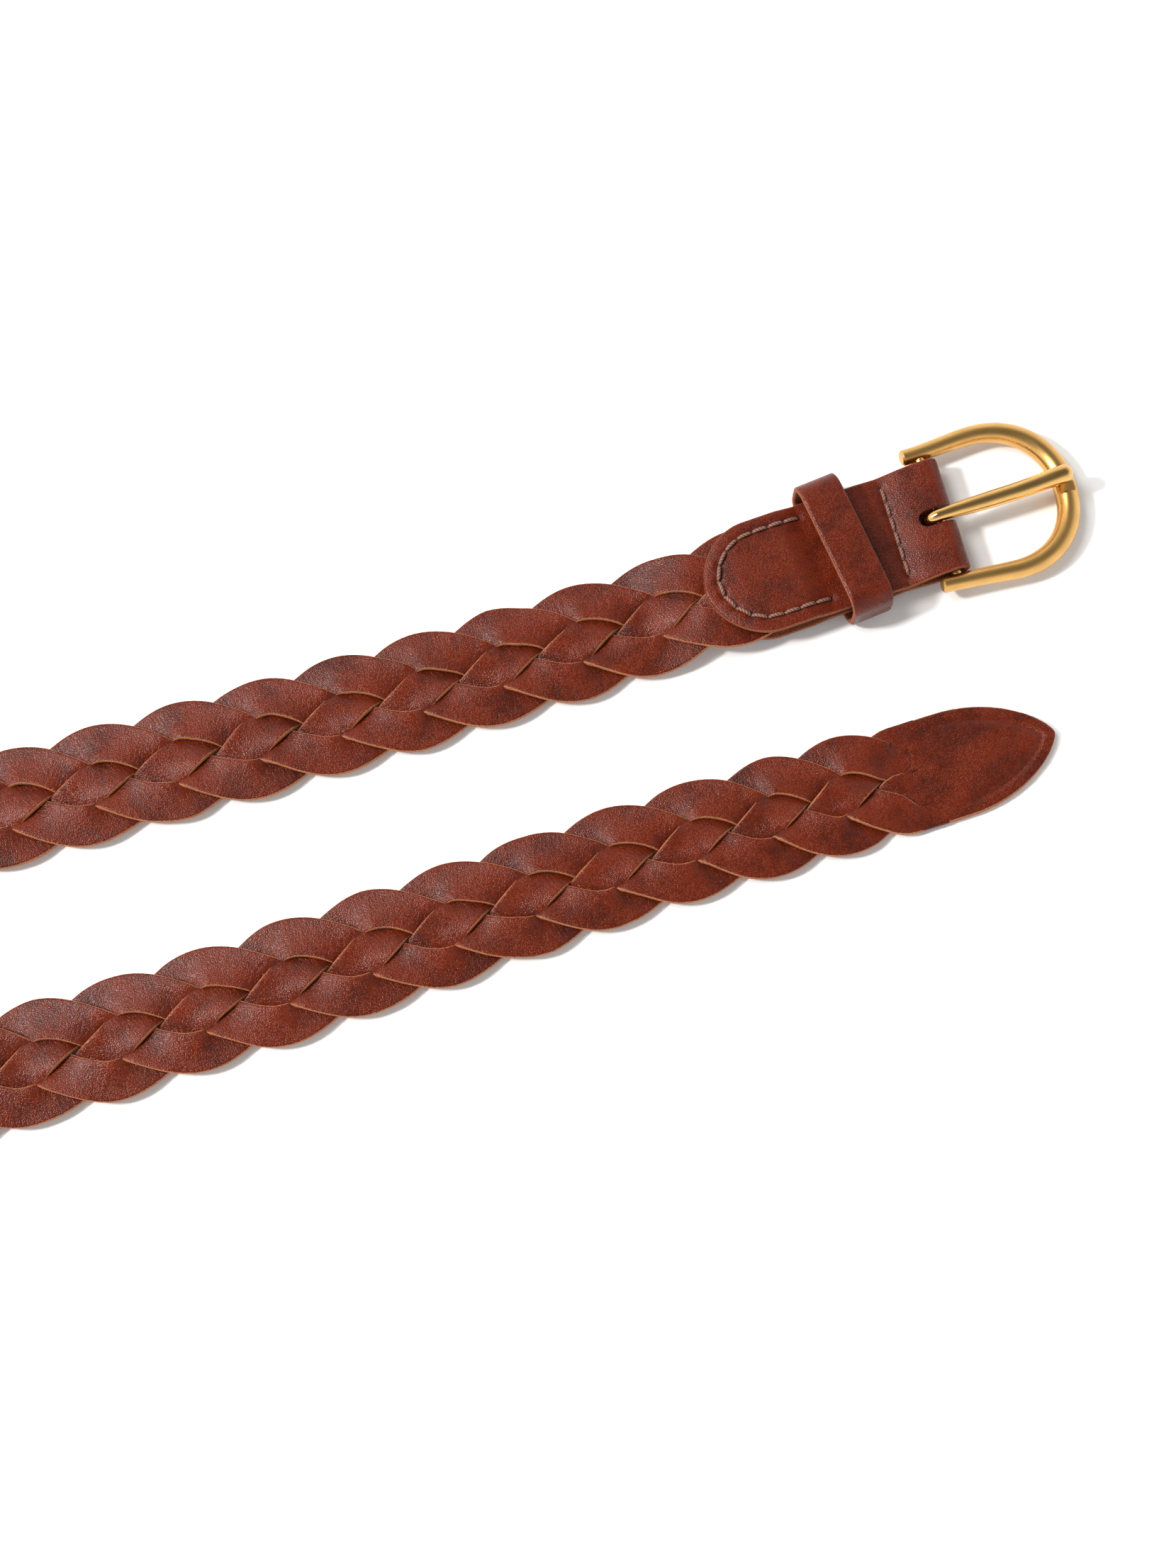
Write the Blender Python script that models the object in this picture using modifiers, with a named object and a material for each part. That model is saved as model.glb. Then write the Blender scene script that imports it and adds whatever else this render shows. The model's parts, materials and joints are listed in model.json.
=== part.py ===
"""A braided leather belt, laid on a flat surface in one loop with its buckle and its tip side by side.

The strap is one leather blank, slit into four strands that are braided flat, each over one and under one.
A folded leather chape holds the crossbar of a horseshoe buckle with its tongue, and a loose keeper slides
along the chape. Units are metres. +Z is up, and the buckle and the tip point along +X.
"""

import math

import bmesh
import bpy
import numpy as np

# Route of the strap's centre line on the surface, from inside the chape round the loop to the tip.
ROUTE = (
    (0.1340, 0.0419), (0.1020, 0.0408), (0.0700, 0.0397), (0.0380, 0.0387), (0.0030, 0.0385),
    (-0.0370, 0.0385), (-0.0780, 0.0392), (-0.1200, 0.0402), (-0.1620, 0.0416), (-0.2040, 0.0446),
    (-0.2460, 0.0502),
    (-0.2880, 0.0590), (-0.3300, 0.0680), (-0.3690, 0.0605), (-0.3880, 0.0290), (-0.3880, -0.0110),
    (-0.3690, -0.0425), (-0.3300, -0.0510), (-0.2880, -0.0430), (-0.2460, -0.0340), (-0.2040, -0.0290),
    (-0.1620, -0.0282), (-0.1200, -0.0287), (-0.0780, -0.0276), (-0.0360, -0.0260), (0.0040, -0.0248),
    (0.0440, -0.0249), (0.0820, -0.0259), (0.1200, -0.0262), (0.1600, -0.0262),
)  # fmt: skip
CENTRING = (0.1162, -0.0085, 0.0)  # brings the middle of the whole belt over the origin
TWIST_START, TWIST_END = -0.165, -0.262  # X where the strap leaves the surface, and where it stands on edge
STRAND_ENDS = (0.0734, 0.0853)  # X of the strands' cut ends: under the chape, and at the tip

# Braid: each strand passes over one strand and under the next
STRANDS = 4
PERIOD = 0.0922  # length in which one strand crosses the strap and comes back
SWING = 0.0118  # how far a strand's centre line strays from the strap's
LAG = 0.10  # radians by which the lobes of one side run ahead of the other's
STRAND_WIDTH = 0.0080
CONTACT_WIDTH = 0.0090  # a strand's width with its clearances, where it crosses another
STRAND_THICKNESS = 0.0015
CROSSING_GAP = 0.0024  # between the middle planes of two strands that cross
HALF_BRAID = 0.0035  # half the braid's thickness
HALF_STRAP = 0.0164
PLAIT_STEPS = 20  # sections in one period
THINNED = 0.60, 0.50  # the strands' thickness under the chape and at the tip, as a share of the whole
THINNING = 0.0250  # length in which they reach it
COVERED = 0.0270  # length of the strands between the chape's flaps
END_WIDTH = 0.66  # a strand's width at its ends, as a share of the whole
END_TAPER = 0.0090
CLEARANCE = 0.0003  # between pieces that touch
CUTTER_DEPTH = 0.0300

# Chape: the folded tab that holds the buckle
CHAPE_ANGLE = math.radians(1.95)
CHAPE_THICKNESS = 0.0018
CHAPE_WIDTH = 0.0326
CHAPE_LENGTH = 0.0697  # from the crossbar to the end of the flaps
CHAPE_NOSE = 0.0165  # length of the flaps' rounded end
NOSE_POWER, SIDE_POWER = 1.05, 1.10  # how full the flaps' outline is at the end and at the sides
STACK_Z = 0.0061  # height of the middle of the folded stack, which is also the crossbar's
FOLD_RADIUS = 0.0019  # inside the fold
# Half the gap between the flaps at a distance from the crossbar: over the braid, the root and the seam
HALF_GAPS = (
    (-0.0747, 0.00235), (-0.0435, 0.00235), (-0.0380, 0.00105), (-0.0200, 0.00105), (-0.0145, 0.0003),
)  # fmt: skip
OPENING_GAPS = ((-0.0095, 0.0009), (-0.0050, 0.0017))  # and where it opens round the crossbar
FOLD_TURN, FOLD_STEP = 100, 20  # degrees of the fold on each side of its far end, and between its points
SLOT_WIDTH, SLOT_LENGTH = 0.0056, 0.0062  # the length is behind the crossbar
SLOT_FRONT = 0.0100  # the slot's cutter ends beyond the fold
ROOT_THICKNESS, ROOT_WIDTH, ROOT_LENGTH = 0.0014, 0.0292, 0.0240

# Buckle
BAR = (0.1167, 0.0425, STACK_Z)
BUCKLE_ANGLE = math.radians(-3.0)
BUCKLE_TILT = math.radians(3.75)  # how far the bow lies below the crossbar's level
BAR_RADIUS, BAR_HALF_LENGTH = 0.0015, 0.0192
RAIL_TAIL = -0.0040  # the rails' free ends, behind the crossbar
RAIL_STRAIGHT = 0.0170
RAIL_HALF_GAP, RAIL_HALF_WIDE = 0.0197, 0.02075
RAIL_BEND_X, RAIL_BEND = 0.0060, 0.0002  # where the rails start to widen, and how far they have
BOW_LENGTH, BOW_POWER = 0.0210, 2.15
RAIL_RADIUS, BOW_RADIUS = 0.00215, 0.0033
THICKENING = 1.3  # power by which the rod grows from the rails to the bow
NOTCH_WIDTH, NOTCH_DEPTH, NOTCH_OFFSET = 0.0034, 0.0012, -0.0010
TONGUE_ANGLE = math.radians(0.5)
TONGUE_OFFSET = -0.0007  # along the crossbar, from its middle
# The tongue's middle line: distance from the crossbar, height over it, and radius
TONGUE_LINE = (
    (0.0040, 0.0028, 0.0013), (0.0090, 0.0025, 0.0016), (0.0160, 0.0021, 0.0017), (0.0230, 0.0019, 0.0018),
    (0.0290, 0.0022, 0.0019), (0.0340, 0.0029, 0.0020), (0.0375, 0.0034, 0.0021), (0.0395, 0.0035, 0.0020),
    (0.0408, 0.0035, 0.0016), (0.0415, 0.0035, 0.0009),
)  # fmt: skip
CURL_RADIUS, CURL_STEPS = 0.00110, 14

# Keeper
KEEPER_X, KEEPER_Y = 0.0862, 0.0414
KEEPER_BAND, KEEPER_THICKNESS = 0.0119, 0.0016
KEEPER_LENGTH, KEEPER_HEIGHT, KEEPER_CORNER = 0.0382, 0.0151, 0.0034

# Stitching
THREAD_RADIUS, THREAD_RISE = 0.00045, 0.00035
STITCH = 0.0045
SEAM_INSET = 0.0040
SEAM_END = -0.0375  # distance from the crossbar at which the round seam stops
BAR_SEAM = -0.0136
BAR_SEAM_REACH = 0.0006  # how much nearer to the sides the straight seam ends

# Tip
TIP_Y = -0.0260
TIP_HALF_WIDTH, TIP_THICKNESS, TIP_STRAIGHT, TIP_POINT, TIP_POWER = 0.0151, 0.0026, 0.0110, 0.0300, 0.70
TIP_STEPS, TIP_CROWDING = 13, 1.6  # points on the nose, closer together towards the point
TIP_EDGE = 0.0004

LOOKS = {
    "leather": ((0.26, 0.075, 0.030), 0.45, 0.0),
    "brass": ((0.72, 0.47, 0.19), 0.35, 1.0),
    "thread": ((0.30, 0.14, 0.09), 0.7, 0.0),
}


def smooth(value):
    """0 below 0, 1 above 1 and an even S between."""
    value = np.clip(value, 0.0, 1.0)
    return value * value * (3.0 - 2.0 * value)


# ---------------------------------------------------------------- scene helpers


def new_collection(name, hidden=False):
    collection = bpy.data.collections.new(name)
    bpy.context.scene.collection.children.link(collection)
    collection.hide_render = hidden
    return collection


def material(name, look):
    colour, roughness, metallic = look
    made = bpy.data.materials.new(name)
    made.use_nodes = True
    shader = made.node_tree.nodes["Principled BSDF"]
    shader.inputs["Base Color"].default_value = (*colour, 1.0)
    shader.inputs["Roughness"].default_value = roughness
    shader.inputs["Metallic"].default_value = metallic
    return made


def add_part(obj, look, parent, location=(0.0, 0.0, 0.0), rotation=(0.0, 0.0, 0.0)):
    """Puts an object in the belt's collection with a material of its own, in its place under its parent."""
    parts.objects.link(obj)
    obj.data.materials.append(material(obj.name, LOOKS[look]))
    obj.parent = parent
    obj.location = location
    obj.rotation_euler = rotation
    return obj


def empty(name, location, rotation=(0.0, 0.0, 0.0), parent=None):
    obj = bpy.data.objects.new(name, None)
    obj.empty_display_size = 0.01
    obj.location = location
    obj.rotation_euler = rotation
    obj.parent = parent
    parts.objects.link(obj)
    return obj


def mesh_of_curve(name, curve):
    """The curve as a closed mesh object: its caps are welded to its sides."""
    guide = bpy.data.objects.new(name + "_curve", curve)
    bpy.context.scene.collection.objects.link(guide)
    graph = bpy.context.evaluated_depsgraph_get()
    mesh = bpy.data.meshes.new_from_object(guide.evaluated_get(graph))
    bpy.data.objects.remove(guide)
    shape = bmesh.new()
    shape.from_mesh(mesh)
    bmesh.ops.remove_doubles(shape, verts=shape.verts, dist=1e-7)
    bmesh.ops.recalc_face_normals(shape, faces=shape.faces)
    shape.to_mesh(mesh)
    shape.free()
    return bpy.data.objects.new(name, mesh)


def plate(name, outlines, thickness):
    """A flat piece in its own XY plane, its thickness centred on it. A second outline is a hole."""
    curve = bpy.data.curves.new(name, "CURVE")
    curve.dimensions = "2D"
    curve.fill_mode = "BOTH"
    curve.extrude = thickness / 2
    for outline in outlines:
        spline = curve.splines.new("POLY")
        spline.points.add(len(outline) - 1)
        for point, (x, y) in zip(spline.points, outline):
            point.co = (x, y, 0.0, 1.0)
        spline.use_cyclic_u = True
    return mesh_of_curve(name, curve)


def rod(name, points, radii, resolution):
    """A round rod along points, with a radius at each one and flat ends."""
    curve = bpy.data.curves.new(name, "CURVE")
    curve.dimensions = "3D"
    curve.bevel_depth = 1.0
    curve.bevel_resolution = resolution
    curve.use_fill_caps = True
    curve.twist_mode = "Z_UP"
    spline = curve.splines.new("POLY")
    spline.points.add(len(points) - 1)
    for point, co, radius in zip(spline.points, points, radii):
        point.co = (*co, 1.0)
        point.radius = radius
    return mesh_of_curve(name, curve)


def loft(name, sections):
    """A closed strip through four-cornered sections, given as an array of rows of four points."""
    mesh = bpy.data.meshes.new(name)
    rows = len(sections)
    faces = [(3, 2, 1, 0), tuple(4 * (rows - 1) + k for k in range(4))]
    for row in range(rows - 1):
        for k in range(4):
            near, far = 4 * row + k, 4 * row + (k + 1) % 4
            faces.append((near, far, far + 4, near + 4))
    mesh.from_pydata(sections.reshape(-1, 3).tolist(), [], faces)
    shape = bmesh.new()
    shape.from_mesh(mesh)
    bmesh.ops.recalc_face_normals(shape, faces=shape.faces)
    shape.to_mesh(mesh)
    shape.free()
    mesh.shade_smooth()
    mesh.set_sharp_from_angle(angle=math.radians(40))
    return bpy.data.objects.new(name, mesh)


def cut(obj, cutter, operation="DIFFERENCE"):
    modifier = obj.modifiers.new(cutter.name, "BOOLEAN")
    modifier.object = cutter
    modifier.operation = operation


def as_cutter(obj, location, rotation, parent):
    cutters.objects.link(obj)
    obj.location = location
    obj.rotation_euler = rotation
    obj.parent = parent
    obj.hide_render = True
    obj.display_type = "WIRE"
    return obj


# ---------------------------------------------------------------- the braid's rule


def swing(phase):
    """How far across the strap a strand is, at its phase in radians."""
    return SWING * np.sin(phase - LAG * np.sin(phase))


def crossing_heights(steps, across=2, tests=5):
    """The strand's height over the braid's middle plane, over one period, at its two edges.

    The strand bends as little as it can while it clears each strand that it passes over or under.
    It gives an array of steps rows and across columns.
    """
    phase = 2 * math.pi * np.arange(steps) / steps
    along = PERIOD / steps
    side = np.linspace(-0.5, 0.5, across) * CONTACT_WIDTH
    count = steps * across

    def weights(at_phase, at_side):
        """Rows that read the height at any phase and side from the unknown heights."""
        row = np.mod(at_phase / (2 * math.pi), 1.0) * steps
        low = np.floor(row).astype(int)
        column = (at_side / CONTACT_WIDTH + 0.5) * (across - 1)
        left = np.clip(np.floor(column).astype(int), 0, across - 2)
        found = np.zeros((len(row), count))
        here = np.arange(len(row))
        for dr in (0, 1):
            for dc in (0, 1):
                share = abs(1 - dr - (row - low)) * abs(1 - dc - (column - left))
                found[here, (low + dr) % steps * across + left + dc] += share
        return found

    eye = np.eye(count).reshape(steps, across, count)
    bend = (np.roll(eye, -1, 0) - 2 * eye + np.roll(eye, 1, 0)).reshape(-1, count) / along**2
    rolled = np.diff(np.roll(eye, -1, 0) - eye, axis=1).reshape(-1, count) / (along * (side[1] - side[0]))
    stiffness = bend.T @ bend + 2 * rolled.T @ rolled + 1e4 * np.eye(count)

    fine = 2 * math.pi * np.arange(8 * steps) / (8 * steps)
    course = np.stack([PERIOD * fine / (2 * math.pi), swing(fine)], axis=1)
    wrapped = np.concatenate([course[-1:] - [PERIOD, 0], course, course[:1] + [PERIOD, 0]])
    ahead = np.gradient(wrapped, axis=0)[1:-1]
    ahead /= np.linalg.norm(ahead, axis=1, keepdims=True)
    normal = np.stack([-ahead[:, 1], ahead[:, 0]], axis=1)
    rows = []
    for sideways in np.linspace(-0.5, 0.5, tests) * CONTACT_WIDTH:
        spot = course[::8] + sideways * normal[::8]
        # Each neighbour is the same strand, a number of quarter periods on; it is over or under by the rule
        for neighbour, over_from in ((1, 3), (2, -2), (3, 1)):
            target = spot + [neighbour * PERIOD / STRANDS, 0.0]
            away = target[:, None] - course[None]
            away[..., 0] = (away[..., 0] + PERIOD / 2) % PERIOD - PERIOD / 2
            nearest = np.argmin((away**2).sum(axis=2), axis=1)
            offset = away[np.arange(steps), nearest]
            beside = (offset * normal[nearest]).sum(axis=1)
            onward = (offset * ahead[nearest]).sum(axis=1) / np.hypot(PERIOD / 2 / math.pi, SWING)
            meets = abs(beside) <= CONTACT_WIDTH / 2
            over = np.where((phase - over_from * math.pi / 4) % (2 * math.pi) < math.pi, 1.0, -1.0)
            mine = weights(phase, np.full(steps, sideways))
            theirs = weights(fine[nearest] + onward, beside)
            rows.append((over[:, None] * (mine - theirs))[meets])
    rows = np.concatenate(rows)
    # Contact forces push apart the strands that would pass through each other, and only push
    given = np.linalg.inv(stiffness)
    pull = rows @ given @ rows.T
    step = 1 / np.linalg.norm(pull, 2)
    force = ahead_force = np.zeros(len(rows))
    pace = 1.0
    for _ in range(4000):
        moved = np.maximum(0.0, ahead_force - step * (pull @ ahead_force - 1.0))
        pace, before = (1 + math.sqrt(1 + 4 * pace**2)) / 2, pace
        ahead_force = moved + (before - 1) / pace * (moved - force)
        force = moved
    return (given @ rows.T @ force).reshape(steps, across)


# ---------------------------------------------------------------- the strap's run


class Run:
    """The strap's middle line on the surface and its twist, read by the distance along it."""

    def __init__(self):
        knots = np.array(ROUTE)
        t = np.linspace(0, 1, 60, endpoint=False)[:, None]
        weights = ((1 - t) ** 3, 3 * t**3 - 6 * t**2 + 4, -3 * t**3 + 3 * t**2 + 3 * t + 1, t**3)
        spans = [sum(w * knots[i + k] for k, w in enumerate(weights)) / 6 for i in range(len(knots) - 3)]
        self.line = np.concatenate(spans)
        self.reach = np.concatenate([[0.0], np.cumsum(np.linalg.norm(np.diff(self.line, axis=0), axis=1))])
        half = len(self.line) // 2
        self.start = np.interp(-STRAND_ENDS[0], -self.line[:half, 0], self.reach[:half])
        self.end = np.interp(STRAND_ENDS[1], self.line[half:, 0], self.reach[half:])

    def frame(self, reach):
        """Centre, across and up vectors, as arrays of rows, and the share of the full thickness."""
        x, y = (np.interp(reach, self.reach, self.line[:, k]) for k in (0, 1))
        ahead = np.stack([np.gradient(v, reach) for v in (x, y)], axis=1)
        ahead /= np.linalg.norm(ahead, axis=1, keepdims=True)
        inward = np.stack([-ahead[:, 1], ahead[:, 0], np.zeros(len(x))], axis=1)
        roll = (math.pi / 2 * smooth((TWIST_START - x) / (TWIST_START - TWIST_END)))[:, None]
        up = np.array([[0.0, 0.0, 1.0]])
        from_chape = smooth((reach - self.start - COVERED) / THINNING)
        from_tip = smooth((self.end - reach) / THINNING)
        share = 1 - (1 - THINNED[0]) * (1 - from_chape) - (1 - THINNED[1]) * (1 - from_tip)
        flat = HALF_BRAID * share * from_chape + STACK_Z * (1 - from_chape)
        centre = np.stack([x, y, flat * np.cos(roll[:, 0]) + HALF_STRAP * np.sin(roll[:, 0])], axis=1)
        across = inward * np.cos(roll) + up * np.sin(roll)
        return centre, across, up * np.cos(roll) - inward * np.sin(roll), share


def braid_strand(index):
    """One strand, as a strip whose four-cornered sections follow the braid's rule."""
    length = run.end - run.start
    eighths = 2 * round((8 * length / PERIOD - 1) / 2) + 1  # the strands lie side by side at both ends
    turn = eighths * math.pi / 4
    steps = round(PLAIT_STEPS * turn / (2 * math.pi))
    phase = np.linspace(0.0, turn, steps + 1) + math.pi / 8
    reach = run.start + length * (phase - phase[0]) / turn
    own = phase + index * math.pi / 2
    slope = SWING * np.cos(own - LAG * np.sin(own)) * (1 - LAG * np.cos(own)) * turn / length
    lean = 1 / np.hypot(1, slope)
    to_end = np.minimum(reach - run.start, run.end - reach)
    half = STRAND_WIDTH / 2 * (1 - (1 - END_WIDTH) * (1 - smooth(to_end / END_TAPER)))
    straight = smooth(to_end / END_TAPER)  # the last section is square to the strap
    edges = []
    for sign, heights in zip((-1, 1), crossing_heights(PLAIT_STEPS * 4).T):
        turned = np.linspace(0, 2 * math.pi, len(heights) + 1)
        height = np.interp(own % (2 * math.pi), turned, [*heights, heights[0]])
        at = reach - sign * half * slope * lean * straight
        centre, across, up, share = run.frame(np.clip(at, run.start, run.end) + 1e-9 * np.arange(len(at)))
        edges.append(
            centre
            + across * (swing(own) + sign * half * lean)[:, None]
            + up * (height * CROSSING_GAP * share)[:, None]
        )
    left, right = edges
    along = np.gradient((left + right) / 2, axis=0)
    normal = np.cross(along, right - left)
    normal *= (STRAND_THICKNESS / 2 * share / np.linalg.norm(normal, axis=1))[:, None]
    corners = np.stack([left - normal, right - normal, right + normal, left + normal], axis=1)
    add_part(loft(f"braid_strand_{index + 1}", corners), "leather", belt)


# ---------------------------------------------------------------- strap ends, chape and stitching


def strap_tip():
    shares = np.linspace(1.0, 0.0, TIP_STEPS) ** TIP_CROWDING
    nose = [
        (TIP_STRAIGHT + TIP_POINT * math.sqrt(1 - share ** (1 / TIP_POWER)), share * TIP_HALF_WIDTH)
        for share in shares
    ]
    outline = [(0.0, TIP_HALF_WIDTH), *nose]
    outline += [(x, -y) for x, y in reversed(outline) if y > 0]
    place = (STRAND_ENDS[1] + CLEARANCE, TIP_Y, TIP_THICKNESS / 2)
    tip = add_part(plate("strap_tip", [outline], TIP_THICKNESS), "leather", belt, place)
    bevel = tip.modifiers.new("worn_edges", "BEVEL")
    bevel.width = TIP_EDGE
    bevel.segments = 2


def strap_root():
    near, half = STRAND_ENDS[0] + CLEARANCE - BAR[0], ROOT_WIDTH / 2
    outline = [(near, -half), (near + ROOT_LENGTH, -half), (near + ROOT_LENGTH, half), (near, half)]
    add_part(plate("strap_root", [outline], ROOT_THICKNESS), "leather", chape_frame)


def half_gap(distance):
    return float(np.interp(distance, *zip(*HALF_GAPS)))


def nose_outline(inset, back, steps=18):
    """The flaps' outline, rounded at its far end, as points from one side round to the other."""
    half, nose = CHAPE_WIDTH / 2 - inset, CHAPE_NOSE - inset
    points = []
    for k in range(2 * steps + 1):
        turn = math.pi * k / (2 * steps) - math.pi / 2
        x, y = math.cos(turn), math.sin(turn)
        aside = -half * math.copysign(abs(y) ** SIDE_POWER, y)
        points.append((-CHAPE_LENGTH + CHAPE_NOSE - nose * x**NOSE_POWER, aside))
    return [(back, half), *points, (back, -half)]


def chape():
    """A strip folded over the crossbar, cut to the flaps' outline and slotted for the tongue."""
    inner = [*HALF_GAPS, *OPENING_GAPS]
    outer = [(x, gap + CHAPE_THICKNESS) for x, gap in inner]
    turns = [math.radians(angle) for angle in range(FOLD_TURN, -FOLD_TURN - 1, -FOLD_STEP)]
    far = FOLD_RADIUS + CHAPE_THICKNESS
    fold_in = [(FOLD_RADIUS * math.cos(turn), FOLD_RADIUS * math.sin(turn)) for turn in turns]
    fold_out = [(far * math.cos(turn), far * math.sin(turn)) for turn in turns]
    lower_inner = [(x, -z) for x, z in reversed(inner)]
    lower_outer = [(x, -z) for x, z in outer]
    profile = [*inner, *fold_in, *lower_inner, *lower_outer, *reversed(fold_out), *reversed(outer)]
    folded = plate("chape", [profile], 2 * CHAPE_WIDTH)
    add_part(folded, "leather", belt, BAR, (math.pi / 2, 0.0, BUCKLE_ANGLE))
    outline = plate("chape_outline", [nose_outline(0.0, SLOT_FRONT)], CUTTER_DEPTH)
    cut(folded, as_cutter(outline, BAR, (0, 0, CHAPE_ANGLE), belt), "INTERSECT")
    half = SLOT_WIDTH / 2
    round_end = [math.radians(angle) for angle in range(90, 271, 20)]
    round_end = [(half * math.cos(turn) - SLOT_LENGTH + half, half * math.sin(turn)) for turn in round_end]
    slot = plate("tongue_slot", [[(SLOT_FRONT, half), *round_end, (SLOT_FRONT, -half)]], CUTTER_DEPTH)
    place = (BAR[0], BAR[1] + TONGUE_OFFSET, BAR[2])
    cut(folded, as_cutter(slot, place, (0, 0, TONGUE_ANGLE), belt))


def stitching(name, path):
    """A thread along a seam on the front flap, arched up once for each stitch."""
    path = np.array(path)
    reach = np.concatenate([[0.0], np.cumsum(np.linalg.norm(np.diff(path, axis=0), axis=1))])
    count = round(reach[-1] / STITCH)
    at = np.linspace(0, reach[-1], 4 * count + 1)
    x, y = (np.interp(at, reach, path[:, k]) for k in (0, 1))
    rise = THREAD_RISE * np.abs(np.sin(math.pi * at / reach[-1] * count))
    top = np.array([half_gap(v) for v in x]) + CHAPE_THICKNESS + CLEARANCE + THREAD_RADIUS
    points = np.stack([x, y, top + rise], axis=1)
    add_part(rod(name, points, [THREAD_RADIUS] * len(points), 1), "thread", chape_frame)


def seams():
    stitching("stitching_u", nose_outline(SEAM_INSET, SEAM_END))
    half = CHAPE_WIDTH / 2 - SEAM_INSET + BAR_SEAM_REACH
    lean = math.tan(BUCKLE_ANGLE - CHAPE_ANGLE)
    stitching("stitching_bar", [(BAR_SEAM - lean * y, y) for y in (-half, 0.0, half)])


# ---------------------------------------------------------------- keeper


def rounded_box(width, height, corner, steps=4):
    points = []
    for quarter, (sx, sy) in enumerate(((1, 1), (-1, 1), (-1, -1), (1, -1))):
        for k in range(steps + 1):
            turn = math.pi / 2 * (quarter + k / steps)
            points.append((sx * (width / 2 - corner) + corner * math.cos(turn),
                           sy * (height / 2 - corner) + corner * math.sin(turn)))  # fmt: skip
    return points


def keeper():
    outer = rounded_box(KEEPER_LENGTH, KEEPER_HEIGHT, KEEPER_CORNER)
    wall = 2 * KEEPER_THICKNESS
    inner = rounded_box(KEEPER_LENGTH - wall, KEEPER_HEIGHT - wall, KEEPER_CORNER - KEEPER_THICKNESS)
    band = plate("keeper", [outer, inner], KEEPER_BAND)
    place = (KEEPER_X, KEEPER_Y, KEEPER_HEIGHT / 2)
    add_part(band, "leather", belt, place, (math.pi / 2, 0.0, math.pi / 2 + CHAPE_ANGLE))


# ---------------------------------------------------------------- buckle


def buckle_frame():
    """A bent rod: two straight rails behind and beside the crossbar, and a bow that joins them."""
    bend = (RAIL_BEND_X, RAIL_HALF_GAP + RAIL_BEND)
    side = [(RAIL_TAIL, RAIL_HALF_GAP), bend, (RAIL_STRAIGHT, RAIL_HALF_WIDE)]
    turns = np.linspace(0, math.pi / 2, 13)[1:]
    power = 2 / BOW_POWER
    bow = [(RAIL_STRAIGHT + BOW_LENGTH * math.sin(a) ** power, RAIL_HALF_WIDE * max(math.cos(a), 0) ** power)
           for a in turns[:-1]]  # fmt: skip
    half = side + bow
    line = [*half, (RAIL_STRAIGHT + BOW_LENGTH, 0.0), *((x, -y) for x, y in reversed(half))]
    reach = (np.array([x for x, _ in line]) - RAIL_TAIL) / (RAIL_STRAIGHT + BOW_LENGTH - RAIL_TAIL)
    radii = RAIL_RADIUS + (BOW_RADIUS - RAIL_RADIUS) * reach**THICKENING
    frame = rod("buckle_frame", [(x, y, 0.0) for x, y in line], radii, 5)
    add_part(frame, "brass", buckle_hinge)
    frame.data.shade_smooth()
    seat = as_cutter(
        rod("bar_seats", [(0, -BAR_HALF_LENGTH - CLEARANCE, 0), (0, BAR_HALF_LENGTH + CLEARANCE, 0)],
            [BAR_RADIUS + CLEARANCE] * 2, 4),
        (0, 0, 0), (0, 0, 0), buckle_hinge,
    )  # fmt: skip
    cut(frame, seat)
    long, wide = 2 * BOW_RADIUS, NOTCH_WIDTH / 2
    notch = plate("notch", [[(-long, -wide), (long, -wide), (long, wide), (-long, wide)]], 2 * NOTCH_DEPTH)
    place = (RAIL_STRAIGHT + BOW_LENGTH, NOTCH_OFFSET, BOW_RADIUS)
    cut(frame, as_cutter(notch, place, (0, 0, 0), buckle_hinge))


def cross_bar():
    ends = [(0, -BAR_HALF_LENGTH, 0), (0, BAR_HALF_LENGTH, 0)]
    bar = add_part(rod("cross_bar", ends, [BAR_RADIUS] * 2, 4), "brass", buckle_hinge)
    bar.data.shade_smooth()


def tongue():
    """A rod curled round the crossbar from below, which lies over the window and rests on the bow."""
    wrap = BAR_RADIUS + CLEARANCE + CURL_RADIUS
    turns = [math.radians(a) for a in np.linspace(-50, -280, CURL_STEPS)]
    curl = [(wrap * math.cos(a), 0.0, wrap * math.sin(a)) for a in turns]
    line = curl + [(x, 0.0, z) for x, z, _ in TONGUE_LINE]
    radii = [CURL_RADIUS] * len(curl) + [radius for _, _, radius in TONGUE_LINE]
    pin = add_part(rod("tongue", line, radii, 4), "brass", tongue_hinge)
    pin.data.shade_smooth()


# ---------------------------------------------------------------- the belt

for old in list(bpy.data.objects):
    bpy.data.objects.remove(old)
parts = new_collection("braided_belt")
cutters = new_collection("cutters", hidden=True)
run = Run()

belt = empty("belt", CENTRING)
chape_frame = empty("chape_frame", BAR, (0, 0, CHAPE_ANGLE), belt)
buckle_hinge = empty("buckle_hinge", BAR, (0, BUCKLE_TILT, BUCKLE_ANGLE), belt)
tongue_hinge = empty("tongue_hinge", (BAR[0], BAR[1] + TONGUE_OFFSET, BAR[2]), (0, 0, TONGUE_ANGLE), belt)

for strand in range(STRANDS):
    braid_strand(strand)
strap_tip()
strap_root()
chape()
seams()
keeper()
buckle_frame()
cross_bar()
tongue()
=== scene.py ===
"""The braided leather belt's looks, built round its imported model. Units are metres and +Z is up."""

import json
import math

import bmesh
import bpy
import numpy as np
from mathutils import Matrix, Vector


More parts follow.
